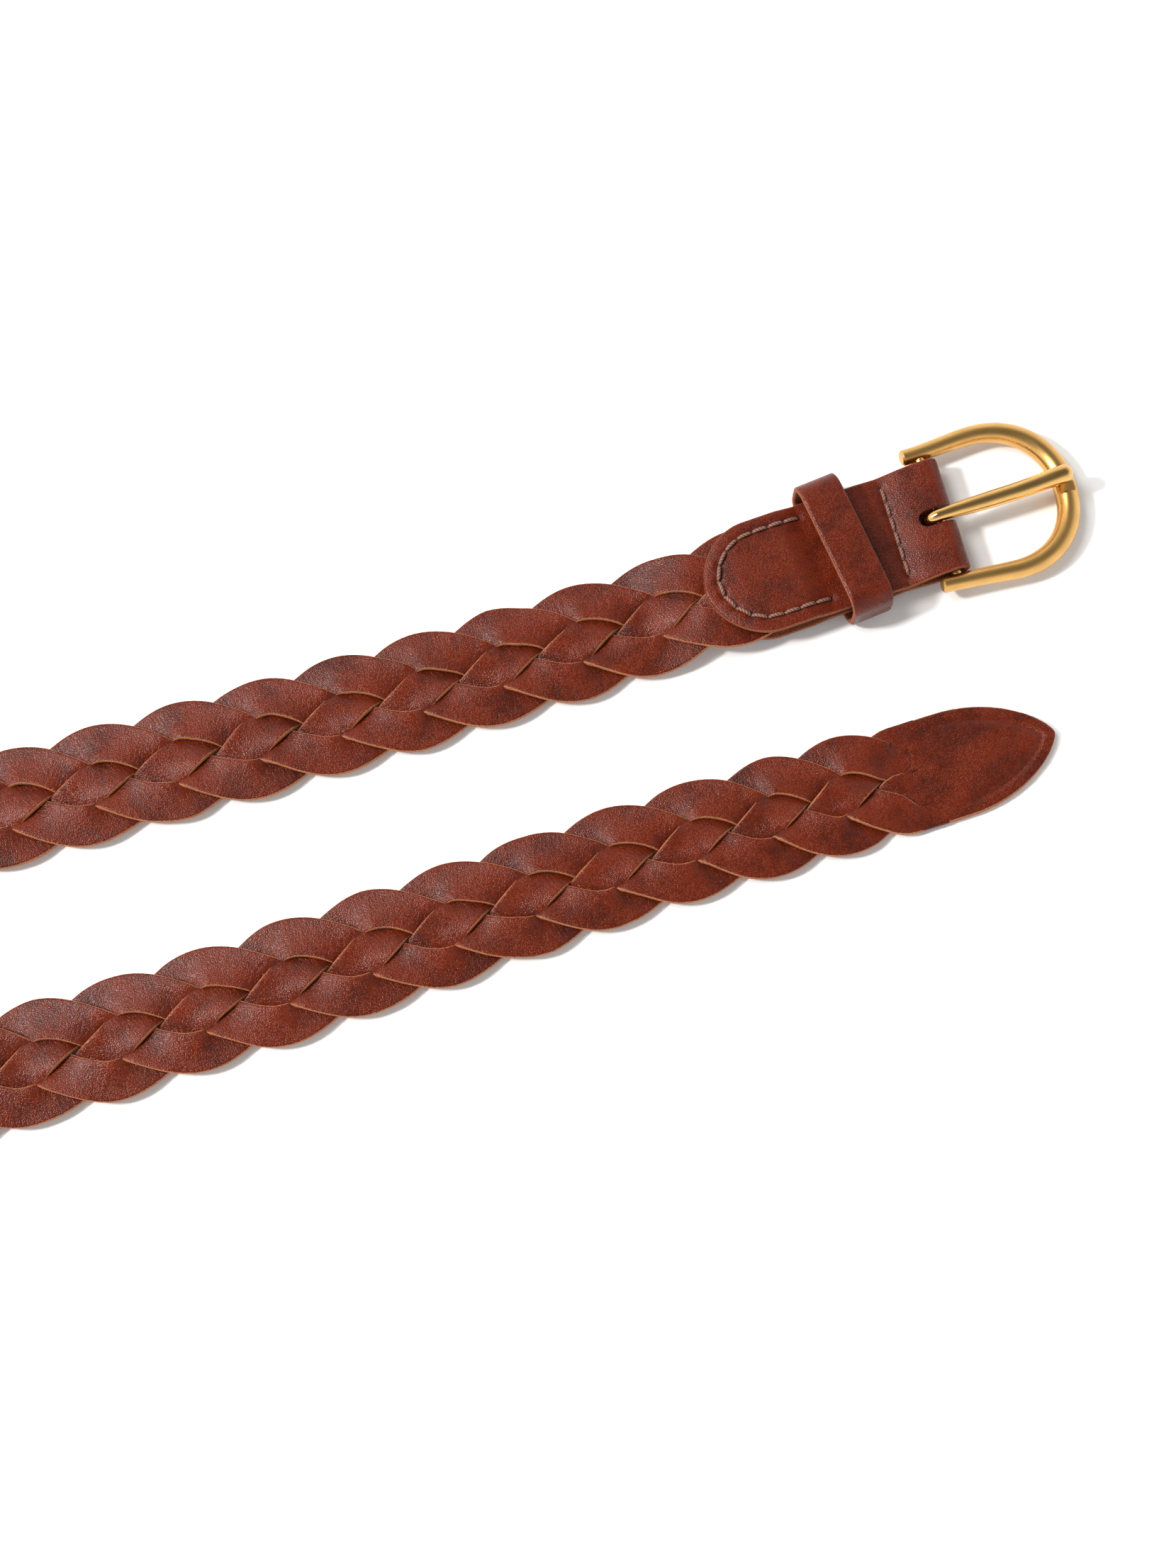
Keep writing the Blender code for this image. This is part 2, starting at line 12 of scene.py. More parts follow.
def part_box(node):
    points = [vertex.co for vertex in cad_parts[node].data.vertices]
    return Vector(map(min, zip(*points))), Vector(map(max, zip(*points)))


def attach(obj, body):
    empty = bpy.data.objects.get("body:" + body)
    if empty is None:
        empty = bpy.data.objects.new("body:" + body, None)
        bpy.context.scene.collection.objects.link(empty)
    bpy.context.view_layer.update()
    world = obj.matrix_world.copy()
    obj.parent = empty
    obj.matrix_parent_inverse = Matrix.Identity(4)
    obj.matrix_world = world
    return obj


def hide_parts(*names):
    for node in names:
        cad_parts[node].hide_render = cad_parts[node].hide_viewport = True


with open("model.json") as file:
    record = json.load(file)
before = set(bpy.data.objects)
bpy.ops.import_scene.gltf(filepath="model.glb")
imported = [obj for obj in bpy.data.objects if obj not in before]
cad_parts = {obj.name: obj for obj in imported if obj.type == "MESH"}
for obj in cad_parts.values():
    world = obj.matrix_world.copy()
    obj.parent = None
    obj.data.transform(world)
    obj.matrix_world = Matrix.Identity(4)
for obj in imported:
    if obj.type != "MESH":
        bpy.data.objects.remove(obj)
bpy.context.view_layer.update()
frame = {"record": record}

JOINTS = {joint["name"]: joint for joint in frame["record"]["behaviour"]["joints"]}
BAR = Vector(JOINTS["buckle_swing"]["pos_m"])  # the crossbar's middle
BAR_ALONG = -Vector(JOINTS["buckle_swing"]["axis"])
CHAPE_ALONG = Vector(JOINTS["keeper_slide"]["axis"])
BAR_AT = np.array(BAR)
CHAPE_TURN = math.atan2(CHAPE_ALONG.y, CHAPE_ALONG.x)
BUCKLE_TURN = math.atan2(BAR_ALONG.y, BAR_ALONG.x) - math.pi / 2
SEED = 7

# The strap's route on the surface, as in the model, measured from under the crossbar
ROUTE = np.array((
    (0.0173, -0.0006), (-0.0147, -0.0017), (-0.0467, -0.0028), (-0.0787, -0.0038), (-0.1137, -0.0040),
    (-0.1537, -0.0040), (-0.1947, -0.0033), (-0.2367, -0.0023), (-0.2787, -0.0009), (-0.3207, 0.0021),
    (-0.3627, 0.0077), (-0.4047, 0.0165), (-0.4467, 0.0255), (-0.4857, 0.0180), (-0.5047, -0.0135),
    (-0.5047, -0.0535), (-0.4857, -0.0850), (-0.4467, -0.0935), (-0.4047, -0.0855), (-0.3627, -0.0765),
    (-0.3207, -0.0715), (-0.2787, -0.0707), (-0.2367, -0.0712), (-0.1947, -0.0701), (-0.1527, -0.0685),
    (-0.1127, -0.0673), (-0.0727, -0.0674), (-0.0347, -0.0684), (0.0033, -0.0687), (0.0433, -0.0687),
))
TWIST_START, TWIST_END = -0.2817, -0.3787  # X between which the strap rises onto its edge
BRAID_ENDS = (-0.0433, -0.0314)  # X of the braid's two ends, as in the model
PERIOD = 0.0922  # length in which a strand swings across and back
SWING = 0.0107  # how far it swings to each side
STRAIGHTENED = 0.025  # share of the third harmonic that straightens the strands between their turns
LAG = 0.15  # how much gentler a strand crosses one way than the other
STRANDS = 4
STRAND_WIDTH = 0.0109
LEATHER = 0.0017  # the strands' thickness
# What is left of it near their cut edges, at shares of their half width
EDGE_PROFILE = ((0, 0.62), (0.012, 0.80), (0.035, 0.92), (0.08, 0.97), (0.2, 0.985), (1.0, 1.0))
RIDE = 0.00112  # how far a strand lies over or under the braid's middle plane where it crosses
BRAID_Z = 0.0028  # height of the braid's middle plane where it lies flat
EDGE_Z = 0.0170  # and where it stands on edge
STACK_Z = BAR.z  # and between the chape's flaps
SECTIONS = 64  # in one period
EASING = 20  # passes in which the crossing strands are eased apart
EASED = 0.35  # share of the missing distance that one pass adds
CLEARED = 0.0006  # how far beside the strand over it a strand already lies low
CUPPING = 0.95  # share of the bend across its width that a strand keeps in each pass
TIGHTENED, TIGHTENING = 0.32, 0.055  # radians the plait runs ahead near the tip, and in what length
# How far a strand wanders aside, in width and in height; the last two are shares
WANDER_ASIDE, WANDER_WIDTH, WANDER_HEIGHT = 0.00022, 0.022, 0.05
# The strands' flattening between the chape's flaps: its length, the length of its easing, and what is left
COVERED, THINNING, SQUEEZED = 0.0270, 0.0200, 0.72

# Tip, measured from the crossbar's middle
TIP_NEAR = -0.0345  # X where it starts over the strands' ends
TIP_CORNER = -0.0201  # X where it starts to narrow
TIP_FAR = 0.0099  # X of its point
TIP_ASIDE = -0.0685  # Y of its middle line
TIP_HALF = 0.0151  # half its width
TIP_POWER = 0.70  # how blunt its point is
TIP_THICKNESS = 0.0024
TIP_CREASE = 0.0036  # how far inside its edge the creased line lies
CREASE_DEPTH, CREASE_WIDTH = 0.0006, 0.0006
TIP_DIP, TIP_DIP_LENGTH = 0.0010, 0.0070  # how far its near end drops onto the strands
TIP_SWELL = 0.0002  # how far its middle swells inside the crease
PUCKER = 0.00022  # depth of the small folds beside the first crossing

# The strands' ends in the tip; a row of numbers has one for each strand
END_THINNED = 0.00016  # how much of half their thickness is pared off
ROOT_BLEND = 0.0090  # length in which they leave the braid's course
ROOT_Z = TIP_THICKNESS - 0.00080  # height of their middle plane
ROOT_ASIDE = (-0.0039, 0.0104, 0.0060, -0.0121)
ROOT_HALF = (0.0051, 0.0046, 0.0048, 0.0032)  # half their width
ROOT_OVERLAP = (0.0040, 0.0050, 0.0070, 0.0050)  # how far they run in
ROOT_DROP = (0.0080, 0.0090, 0.0110, 0.0070)  # how far before the tip they start to level out
ROOT_FALL = (0.0055, 0.0060, 0.0120, 0.0080)  # and over what length

# Chape
CHAPE_THICKNESS = 0.0018
CHAPE_HALF = 0.0166  # half its width
CHAPE_LENGTH = 0.0697  # from the crossbar to the end of its flaps
CHAPE_NOSE = 0.0165  # length of their rounded part
CHAPE_OFFSET = -0.0012  # how far its middle lies beside the crossbar's
CHAPE_ROUND = 0.0007  # how far in its worn edges are rounded
FLAP_SWELL = 0.0004  # how far the flaps swell over the strands
NOSE_PINCH = 0.0016  # how far their noses press together
FOLD_START = -0.0050  # X where they meet the fold
FOLD_RADIUS = 0.0026 + CHAPE_THICKNESS / 2  # of the leather's middle plane
# Half the gap between the flaps, at distances from the crossbar
HALF_GAPS = (
    (-0.0800, 0.00235), (-0.0435, 0.00235), (-0.0380, 0.00105), (-0.0200, 0.00105), (-0.0145, 0.0003),
    (-0.0115, 0.0009), (-0.0080, 0.0018), (-0.0045, 0.0023), (0.0, 0.0025),
)
SLOT_WIDTH, SLOT_LENGTH = 0.0047, 0.0064
SLOT_CUTTER = 0.012  # how far the slot's cutter reaches forward, up and down

# Seams
SEAM_INSET, SEAM_END = 0.0040, -0.0375  # the U seam's distance from the edge, and X of its two ends
BAR_SEAM = -0.0136  # X of the straight seam
BAR_SEAM_HALF = CHAPE_HALF - SEAM_INSET + 0.0006
STITCH = 0.0046  # length of one stitch with its gap
THREAD_RADIUS = 0.00050
STITCH_ARCH, STITCH_DIVE = 0.00040, 0.0010  # how far a stitch stands up, and how far its ends go down
BACK_SUNK = 0.0011  # how much deeper the stitches lie in the back flap, clear of the keeper
HOLE_DEPTH, HOLE_RADIUS = 0.00045, 0.0009  # the leather pressed in at the stitches' ends
GROOVE_DEPTH, GROOVE_WIDTH = 0.00018, 0.0011  # and along the seam

# Buckle
BUCKLE_TILT = math.radians(3.75)
BAR_RADIUS, BAR_HALF = 0.0015, 0.0205
RAIL_TAIL, RAIL_STRAIGHT = -0.0049, 0.0170  # X of the rails' tails and of the bow's start, from the crossbar
RAIL_HALF_GAP, RAIL_HALF_WIDE = 0.0204, 0.02095  # half the distance between the rails, at those two
BOW_LENGTH, BOW_POWER = 0.0210, 2.15
TAIL_PINCH = 0.0017  # how far the tail of one rail leans in
RAIL_RADIUS, BOW_RADIUS = 0.00230, 0.0033
NOTCH_WIDTH, NOTCH_DEPTH, NOTCH_OFFSET = 0.0034, 0.0012, -0.0010

# Tongue
TONGUE_ANGLE = math.radians(1.0)
TONGUE_OFFSET = -0.0014
CURL_RADIUS = 0.00180  # of the pin where it is curled round the crossbar
CURL_GAP = 0.00035  # between the two
# The tongue's middle line: distance from the crossbar, height over it, and radius
TONGUE_LINE = (
    (0.0040, 0.0036, 0.0020), (0.0090, 0.0031, 0.0023), (0.0160, 0.0027, 0.0025), (0.0230, 0.0025, 0.0025),
    (0.0290, 0.0029, 0.0025), (0.0325, 0.0036, 0.0026), (0.0350, 0.0041, 0.0026), (0.0370, 0.0042, 0.0026),
)

# Keeper
KEEPER_LONG, KEEPER_TALL = 0.0414, 0.0157  # outside, across the strap and upwards
KEEPER_BAND, KEEPER_THICK = 0.0119, 0.0017
KEEPER_CORNER = 0.0044
KEEPER_BULGE = 0.0004  # how far its long sides bulge
KEEPER_STEP = 0.0009  # between sections of the band
KEEPER_TURN = math.radians(3.2)
KEEPER_SHIFT = (0.0014, -0.0008, 0.0003)

ROUND_UV = 0.003  # width of a round bar's UV map

# Camera, surface and light, in the belt's own directions
VIEW_ROLL = math.radians(18)
VIEW_FROM = Vector((-0.1679, -0.2000, 0.6182 - BAR.z))
VIEW_AT = Vector((-0.1167, -0.0425, -BAR.z))
LENS, SENSOR = 53.54, 36.0
SURFACE_HALF, SURFACE_Z = 4.0, -0.00005
LIT = Vector((BAR.x - 0.11, BAR.y - 0.04, 0.0))  # the spot the lamps face
SKY_SIDES, SKY_TOP = 0.30, 0.97  # upward part of the directions between which the sky fades
SIDES_STRENGTH, TOP_STRENGTH = 1.2, 0.18


def smooth(value):
    value = np.clip(value, 0.0, 1.0)
    return value * value * (3.0 - 2.0 * value)


# ---------------------------------------------------------------- materials


class Nodes:
    """Short calls for the nodes that the materials share."""

    def __init__(self, name):
        self.material = bpy.data.materials.new(name)
        self.material.use_nodes = True
        self.tree = self.material.node_tree
        self.shader = self.tree.nodes["Principled BSDF"]

    def add(self, kind, settings=(), **inputs):
        node = self.tree.nodes.new(kind)
        for key, value in dict(settings).items():
            setattr(node, key, value)
        for key, value in inputs.items():
            self.feed(node.inputs[key.replace("_", " ")], value)
        return node

    def feed(self, socket, value):
        if isinstance(value, bpy.types.NodeSocket):
            self.tree.links.new(value, socket)
        else:
            socket.default_value = value

    def coords(self, kind, scale):
        """Object coordinates, or the UV map's, in cells of 1/scale metres each way."""
        source = self.add("ShaderNodeTexCoord").outputs[kind]
        return self.add("ShaderNodeMapping", Vector=source, Scale=scale).outputs["Vector"]

    def noise(self, vector, scale=1.0, detail=3.0, roughness=0.55):
        node = self.add("ShaderNodeTexNoise", Vector=vector, Scale=scale, Detail=detail, Roughness=roughness)
        return node.outputs["Fac"]

    def span(self, value, low, high, to_low=0.0, to_high=1.0):
        node = self.add("ShaderNodeMapRange", {"interpolation_type": "SMOOTHSTEP"}, Value=value)
        for key, number in (("From Min", low), ("From Max", high), ("To Min", to_low), ("To Max", to_high)):
            self.feed(node.inputs[key], number)
        return node.outputs["Result"]

    def math(self, operation, first, second):
        node = self.add("ShaderNodeMath", {"operation": operation})
        self.feed(node.inputs[0], first)
        self.feed(node.inputs[1], second)
        return node.outputs["Value"]

    def mix(self, share, first, second):
        node = self.add("ShaderNodeMix", {"data_type": "RGBA"})
        self.feed(node.inputs["Factor"], share)
        self.feed(node.inputs[6], first)
        self.feed(node.inputs[7], second)
        return node.outputs[2]

    def lay(self, under, mask, share, over):
        """One colour laid over another, by a share of a mask."""
        return self.mix(self.math("MULTIPLY", mask, share), under, over)

    def bump(self, height, strength, distance, normal=None):
        node = self.add("ShaderNodeBump", Height=height, Strength=strength, Distance=distance)
        if normal:
            self.feed(node.inputs["Normal"], normal)
        return node.outputs["Normal"]

    def attribute(self, name):
        return self.add("ShaderNodeAttribute", {"attribute_name": name}).outputs["Fac"]

    def shade(self, **inputs):
        for key, value in inputs.items():
            self.feed(self.shader.inputs[key.replace("_", " ")], value)
        return self.material


def colour(red, green, blue):
    return (red, green, blue, 1.0)


def toned(tint, share):
    """A lighter or darker tint."""
    return colour(*(part * share for part in tint[:3]))


def leather(name, warm, deep, raw_look, wrinkle):
    """Waxed vegetable-tanned leather: mottled dye, a fine pebble, stretch wrinkles, pale cut edges, and
    painted shade and highlight from a point mark.
    """
    n = Nodes(name)
    here = n.coords("Object", (1, 1, 1))
    cloudy = n.noise(here, 120.0, 4.0, 0.6)
    patchy = n.noise(here, 420.0, 3.0, 0.6)
    dye_and_painted_light = n.mix(n.span(cloudy, 0.28, 0.62), deep, warm)
    dye_and_painted_light = n.lay(dye_and_painted_light, n.span(patchy, 0.45, 0.75), 0.35, toned(warm, 1.35))
    # Painted shade where the mark is low: the strands' low parts under the crossings are darkened, and the
    # tab's stitch holes go near black. Where the mark is high the colour is lighter: rubbed wear on crests
    # and edges, and painted highlight beside the crossbar and along the tip's crease.
    crest = n.attribute("crest")
    dye_and_painted_light = n.lay(dye_and_painted_light, n.span(crest, 0.0, 0.6, 1.0, 0.0), 0.42, toned(deep, 0.60))
    dye_and_painted_light = n.lay(dye_and_painted_light, n.span(crest, -0.7, 0.0, 1.0, 0.0), 0.92, colour(0.012, 0.004, 0.003))
    dye_and_painted_light = n.lay(dye_and_painted_light, n.span(crest, 0.62, 1.0), 0.30, toned(warm, 1.5))
    # Pebble grain, darker between its grains
    pebble = n.add("ShaderNodeTexVoronoi", {"feature": "F1"}, Vector=here, Scale=2500.0, Randomness=1.0)
    pebbled = n.span(pebble.outputs["Distance"], 0.1, 0.75, 1.0, 0.0)
    grain = n.math("ADD", pebbled, n.math("MULTIPLY", n.noise(here, 3800.0, 2.0), 0.5))
    dye_and_painted_light = n.lay(dye_and_painted_light, n.span(grain, 0.35, 0.85, 1.0, 0.0), 0.45, toned(deep, 0.45))
    # Wrinkles where the leather is stretched over a crossing
    creases = n.noise(n.coords("UV", (1500.0, 330.0, 1.0)), 1.0, 3.0, 0.6)
    creased = n.math("MULTIPLY", n.span(creases, 0.42, 0.62), n.attribute("stretch"))
    # Raw fibre on the cut edges and the underside
    fibre = n.noise(here, 2600.0, 4.0, 0.7)
    cut = n.mix(n.span(fibre, 0.35, 0.65), toned(raw_look, 0.55), raw_look)
    ragged = n.math("MULTIPLY", n.math("SUBTRACT", fibre, 0.5), 0.9)
    edge = n.span(n.math("ADD", n.attribute("raw"), ragged), 0.42, 0.62)
    uneven = n.math("ADD", n.math("MULTIPLY", cloudy, 0.8), n.math("MULTIPLY", patchy, 0.5))
    normal = n.bump(uneven, 0.35, 0.0006)
    normal = n.bump(grain, 0.50, 0.00012, normal)
    normal = n.bump(creased, wrinkle, 0.00022, normal)
    normal = n.bump(n.math("MULTIPLY", fibre, edge), 0.7, 0.0003, normal)
    gloss = n.span(n.math("ADD", patchy, n.math("MULTIPLY", grain, 0.25)), 0.4, 0.95, 0.33, 0.19)
    rough = n.math("MAXIMUM", gloss, n.math("MULTIPLY", edge, 0.85))
    return n.shade(Base_Color=n.mix(edge, dye_and_painted_light, cut), Roughness=rough, Normal=normal, Specular_IOR_Level=0.25)


def brass(name, tint, rough, wear):
    """Brass with a fine satin or polish, a little uneven in tone and roughness."""
    n = Nodes(name)
    here = n.coords("Object", (1, 1, 1))
    cloudy = n.noise(here, 160.0, 3.0)
    fine = n.noise(here, 5200.0, 3.0, 0.7)
    tone = n.mix(n.span(cloudy, 0.35, 0.68), toned(tint, 0.90), tint)
    patchy = n.span(cloudy, 0.3, 0.7, rough * 1.15, rough * 0.85)
    gloss = n.math("ADD", patchy, n.math("MULTIPLY", fine, wear))
    normal = n.bump(fine, 0.12, 0.00004)
    return n.shade(Base_Color=tone, Metallic=1.0, Roughness=gloss, Normal=normal)


def waxed_thread():
    """Brown thread of several plies, its wax worn unevenly."""
    n = Nodes("waxed_thread")
    laid = n.coords("UV", (700, 420, 1))
    wave = n.add("ShaderNodeTexWave", {"bands_direction": "DIAGONAL"}, Vector=laid, Scale=1.0)
    plies = wave.outputs["Fac"]
    fuzz = n.noise(n.coords("Object", (1, 1, 1)), 3000.0, 3.0)
    tone = n.mix(n.span(plies, 0.1, 0.8), colour(0.100, 0.040, 0.026), colour(0.29, 0.135, 0.095))
    tone = n.lay(tone, fuzz, 0.25, colour(0.10, 0.045, 0.03))
    normal = n.bump(n.math("ADD", plies, n.math("MULTIPLY", fuzz, 0.4)), 0.6, 0.00012)
    return n.shade(Base_Color=tone, Roughness=0.62, Normal=normal)


def pale_floor():
    n = Nodes("pale_floor")
    mottle = n.noise(n.coords("Object", (1, 1, 1)), 14.0, 3.0)
    tone = n.mix(mottle, colour(0.92, 0.92, 0.915), colour(0.95, 0.95, 0.945))
    return n.shade(Base_Color=tone, Roughness=0.75)


BRAID_LEATHER = leather(
    "braid_leather",
    warm=colour(0.147, 0.0172, 0.0036),
    deep=colour(0.064, 0.0072, 0.0017),
    raw_look=colour(0.50, 0.185, 0.080),
    wrinkle=0.3,
)
CHAPE_LEATHER = leather(
    "chape_leather",
    warm=colour(0.147, 0.0172, 0.0038),
    deep=colour(0.074, 0.0084, 0.0020),
    raw_look=colour(0.33, 0.10, 0.045),
    wrinkle=0.2,
)
SATIN_BRASS = brass("satin_brass", colour(0.74, 0.430, 0.140), rough=0.24, wear=0.10)
POLISHED_BRASS = brass("polished_brass", colour(0.80, 0.485, 0.168), rough=0.12, wear=0.04)
THREAD = waxed_thread()


# ---------------------------------------------------------------- mesh helpers


def add_piece(obj, body, slot, material, *nodes):
    """Links a new piece, gives it its material and lets it ride on its body in place of CAD nodes."""
    bpy.context.scene.collection.objects.link(obj)
    obj.data.materials.clear()
    obj.data.materials.append(material)
    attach(obj, body)
    if nodes:
        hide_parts(*nodes)
    return obj


def skin(name, rings, closed=False, uv=None, **marks):
    """A mesh through rings of points. Its ends are capped, or joined to each other when it is closed.

    marks are point attributes, as arrays of one number for each point of each ring.
    """
    rows, round_count = rings.shape[:2]
    mesh = bpy.data.meshes.new(name)
    steps = rows if closed else rows - 1
    row, col = np.meshgrid(np.arange(steps), np.arange(round_count), indexing="ij")
    after, beside = (row + 1) % rows, (col + 1) % round_count
    quads = (row * round_count + col, row * round_count + beside,
             after * round_count + beside, after * round_count + col)
    faces = np.stack(quads, axis=-1).reshape(-1, 4).tolist()
    if not closed:
        faces += [list(range(round_count))[::-1], [(rows - 1) * round_count + k for k in range(round_count)]]
    mesh.from_pydata(rings.reshape(-1, 3).tolist(), [], faces)
    for key, values in marks.items():
        layer = mesh.attributes.new(key, "FLOAT", "POINT")
        layer.data.foreach_set("value", np.ascontiguousarray(values, np.float32).reshape(-1))
    if uv is not None:
        corners = np.empty(len(mesh.loops), np.int64)
        mesh.loops.foreach_get("vertex_index", corners)
        spread = np.ascontiguousarray(uv.reshape(-1, 2)[corners], np.float32)
        mesh.uv_layers.new(name="along_and_across").data.foreach_set("uv", spread.reshape(-1))
    shape = bmesh.new()
    shape.from_mesh(mesh)
    bmesh.ops.recalc_face_normals(shape, faces=shape.faces)
    shape.to_mesh(mesh)
    shape.free()
    mesh.shade_smooth()
    return bpy.data.objects.new(name, mesh)


def all_round(values):
    """Values for a sheet's whole section: its top, a side, its underside and the other side."""
    right, left = values[:, -1:], values[:, :1]
    return np.concatenate([values, right, right, values[:, ::-1], left, left], axis=1)


def sheet_skin(
    name, middle, normal, tops, bottoms, reach, across, closed=False, cut=0.00035, dyed=None, **marks
):
    """A leather sheet round a grid of middle points: its faces lie tops and bottoms away along the normals.

    Its sides are closed with a cut edge. That edge, the face within cut of it and the underside are raw
    leather, but for the rows that are dyed.
    """
    over, under = middle + normal * tops[..., None], middle - normal * bottoms[..., None]
    right = [over[:, -1:] * (1 - t) + under[:, -1:] * t for t in (0.3, 0.7)]
    left = [under[:, :1] * (1 - t) + over[:, :1] * t for t in (0.3, 0.7)]
    rings = np.concatenate([over, *right, under[:, ::-1], *left], axis=1)
    raw = np.ones(rings.shape[:2])
    wide = np.maximum(across[:, -1:], 1e-4)
    raw[:, : middle.shape[1]] = 1 - smooth((wide - abs(across) - cut * 0.4) / (cut * 0.6))
    if dyed is not None:
        raw *= 1 - dyed[:, None]
    uv = np.stack(np.broadcast_arrays(reach[:, None], all_round(across)), axis=-1)
    spread = {key: all_round(np.broadcast_to(values, middle.shape[:2])) for key, values in marks.items()}
    return skin(name, rings, closed=closed, uv=uv, raw=raw, **spread)


def normals_of(grid, closed=False):
    """Unit normals of a grid of points, from the steps along its rows and across them."""
    padded = np.concatenate([grid[-1:], grid, grid[:1]]) if closed else grid
    ahead = np.gradient(padded, axis=0)
    if closed:
        ahead = ahead[1:-1]
    found = np.cross(ahead, np.gradient(grid, axis=1))
    return found / np.maximum(np.linalg.norm(found, axis=2, keepdims=True), 1e-12)


def path_reach(points):
    """The distance of each point along a path."""
    return np.concatenate([[0.0], np.cumsum(np.linalg.norm(np.diff(points, axis=0), axis=1))])


def dense(points, step=0.0003, closed=False):
    """The same path through evenly spaced points, about a step apart."""
    points = np.asarray(points, float)
    if closed:
        points = np.concatenate([points, points[:1]])
    reach = path_reach(points)
    places = np.linspace(0, reach[-1], int(reach[-1] / step) + 2)
    return np.stack([np.interp(places, reach, points[:, k]) for k in range(points.shape[1])], axis=1)


def tube(points, radii, sides, lift=(0.0, 0.0, 1.0)):
    """The sections of a round bar along points, and its UV map."""
    points, radii = np.asarray(points, float), np.asarray(radii, float)
    ahead = np.gradient(points, axis=0)
    ahead /= np.linalg.norm(ahead, axis=1, keepdims=True)
    side = np.cross(ahead, np.broadcast_to(lift, points.shape))
    side /= np.linalg.norm(side, axis=1, keepdims=True)
    up = np.cross(side, ahead)
    turn = 2 * math.pi * np.arange(sides) / sides
    ring = side[:, None] * np.cos(turn)[None, :, None] + up[:, None] * np.sin(turn)[None, :, None]
    round_uv = turn[None] / (2 * math.pi) * ROUND_UV
    uv = np.stack(np.broadcast_arrays(path_reach(points)[:, None], round_uv), axis=-1)
    return points[:, None] + ring * radii[:, None, None], uv


def joined(name, pieces):
    """One object made of several, with their attributes."""
    shape = bmesh.new()
    for piece in pieces:
        shape.from_mesh(piece.data)
    mesh = bpy.data.meshes.new(name)
    shape.to_mesh(mesh)
    shape.free()
    for piece in pieces:
        bpy.data.objects.remove(piece)
    mesh.shade_smooth()
    return bpy.data.objects.new(name, mesh)


def turned(points, angle):
    """Points turned about the up axis."""
    c, s = math.cos(angle), math.sin(angle)
    x, y, z = np.moveaxis(points, -1, 0)
    return np.stack([x * c - y * s, x * s + y * c, z], axis=-1)


def on_chape(points):
    """From the chape's own directions, X along it towards the buckle, to the belt's."""
    return turned(points, CHAPE_TURN) + BAR_AT + [0.0, CHAPE_OFFSET, 0.0]


def on_tongue(points):
    """From the tongue's own directions, X along it away from the crossbar, to the belt's."""
    return turned(points, TONGUE_ANGLE) + BAR_AT + [0.0, TONGUE_OFFSET, 0.0]


def on_buckle(points):
    """From the buckle's own directions, X away from the crossbar, to the belt's."""
    c, s = math.cos(BUCKLE_TILT), math.sin(BUCKLE_TILT)
    x, y, z = np.moveaxis(points, -1, 0)
    return turned(np.stack([x * c + z * s, y, -x * s + z * c], axis=-1), BUCKLE_TURN) + BAR_AT


# ---------------------------------------------------------------- braid


def swing(phase):
    """How far across the strap a strand is, at its phase in radians."""
    ahead = phase - LAG * np.sin(phase)
    return SWING * (np.sin(ahead) - STRAIGHTENED * np.sin(3 * ahead))


def soften(field, along, aside):
    """A field of heights, averaged with its neighbours along the strand and across it."""
    for _ in range(along):
        field = (np.roll(field, 1, 0) + 2 * field + np.roll(field, -1, 0)) / 4
    for _ in range(aside):
        edge = np.concatenate([field[:, :1], field, field[:, -1:]], axis=1)
        field = (edge[:, :-2] + 2 * field + edge[:, 2:]) / 4
    return field


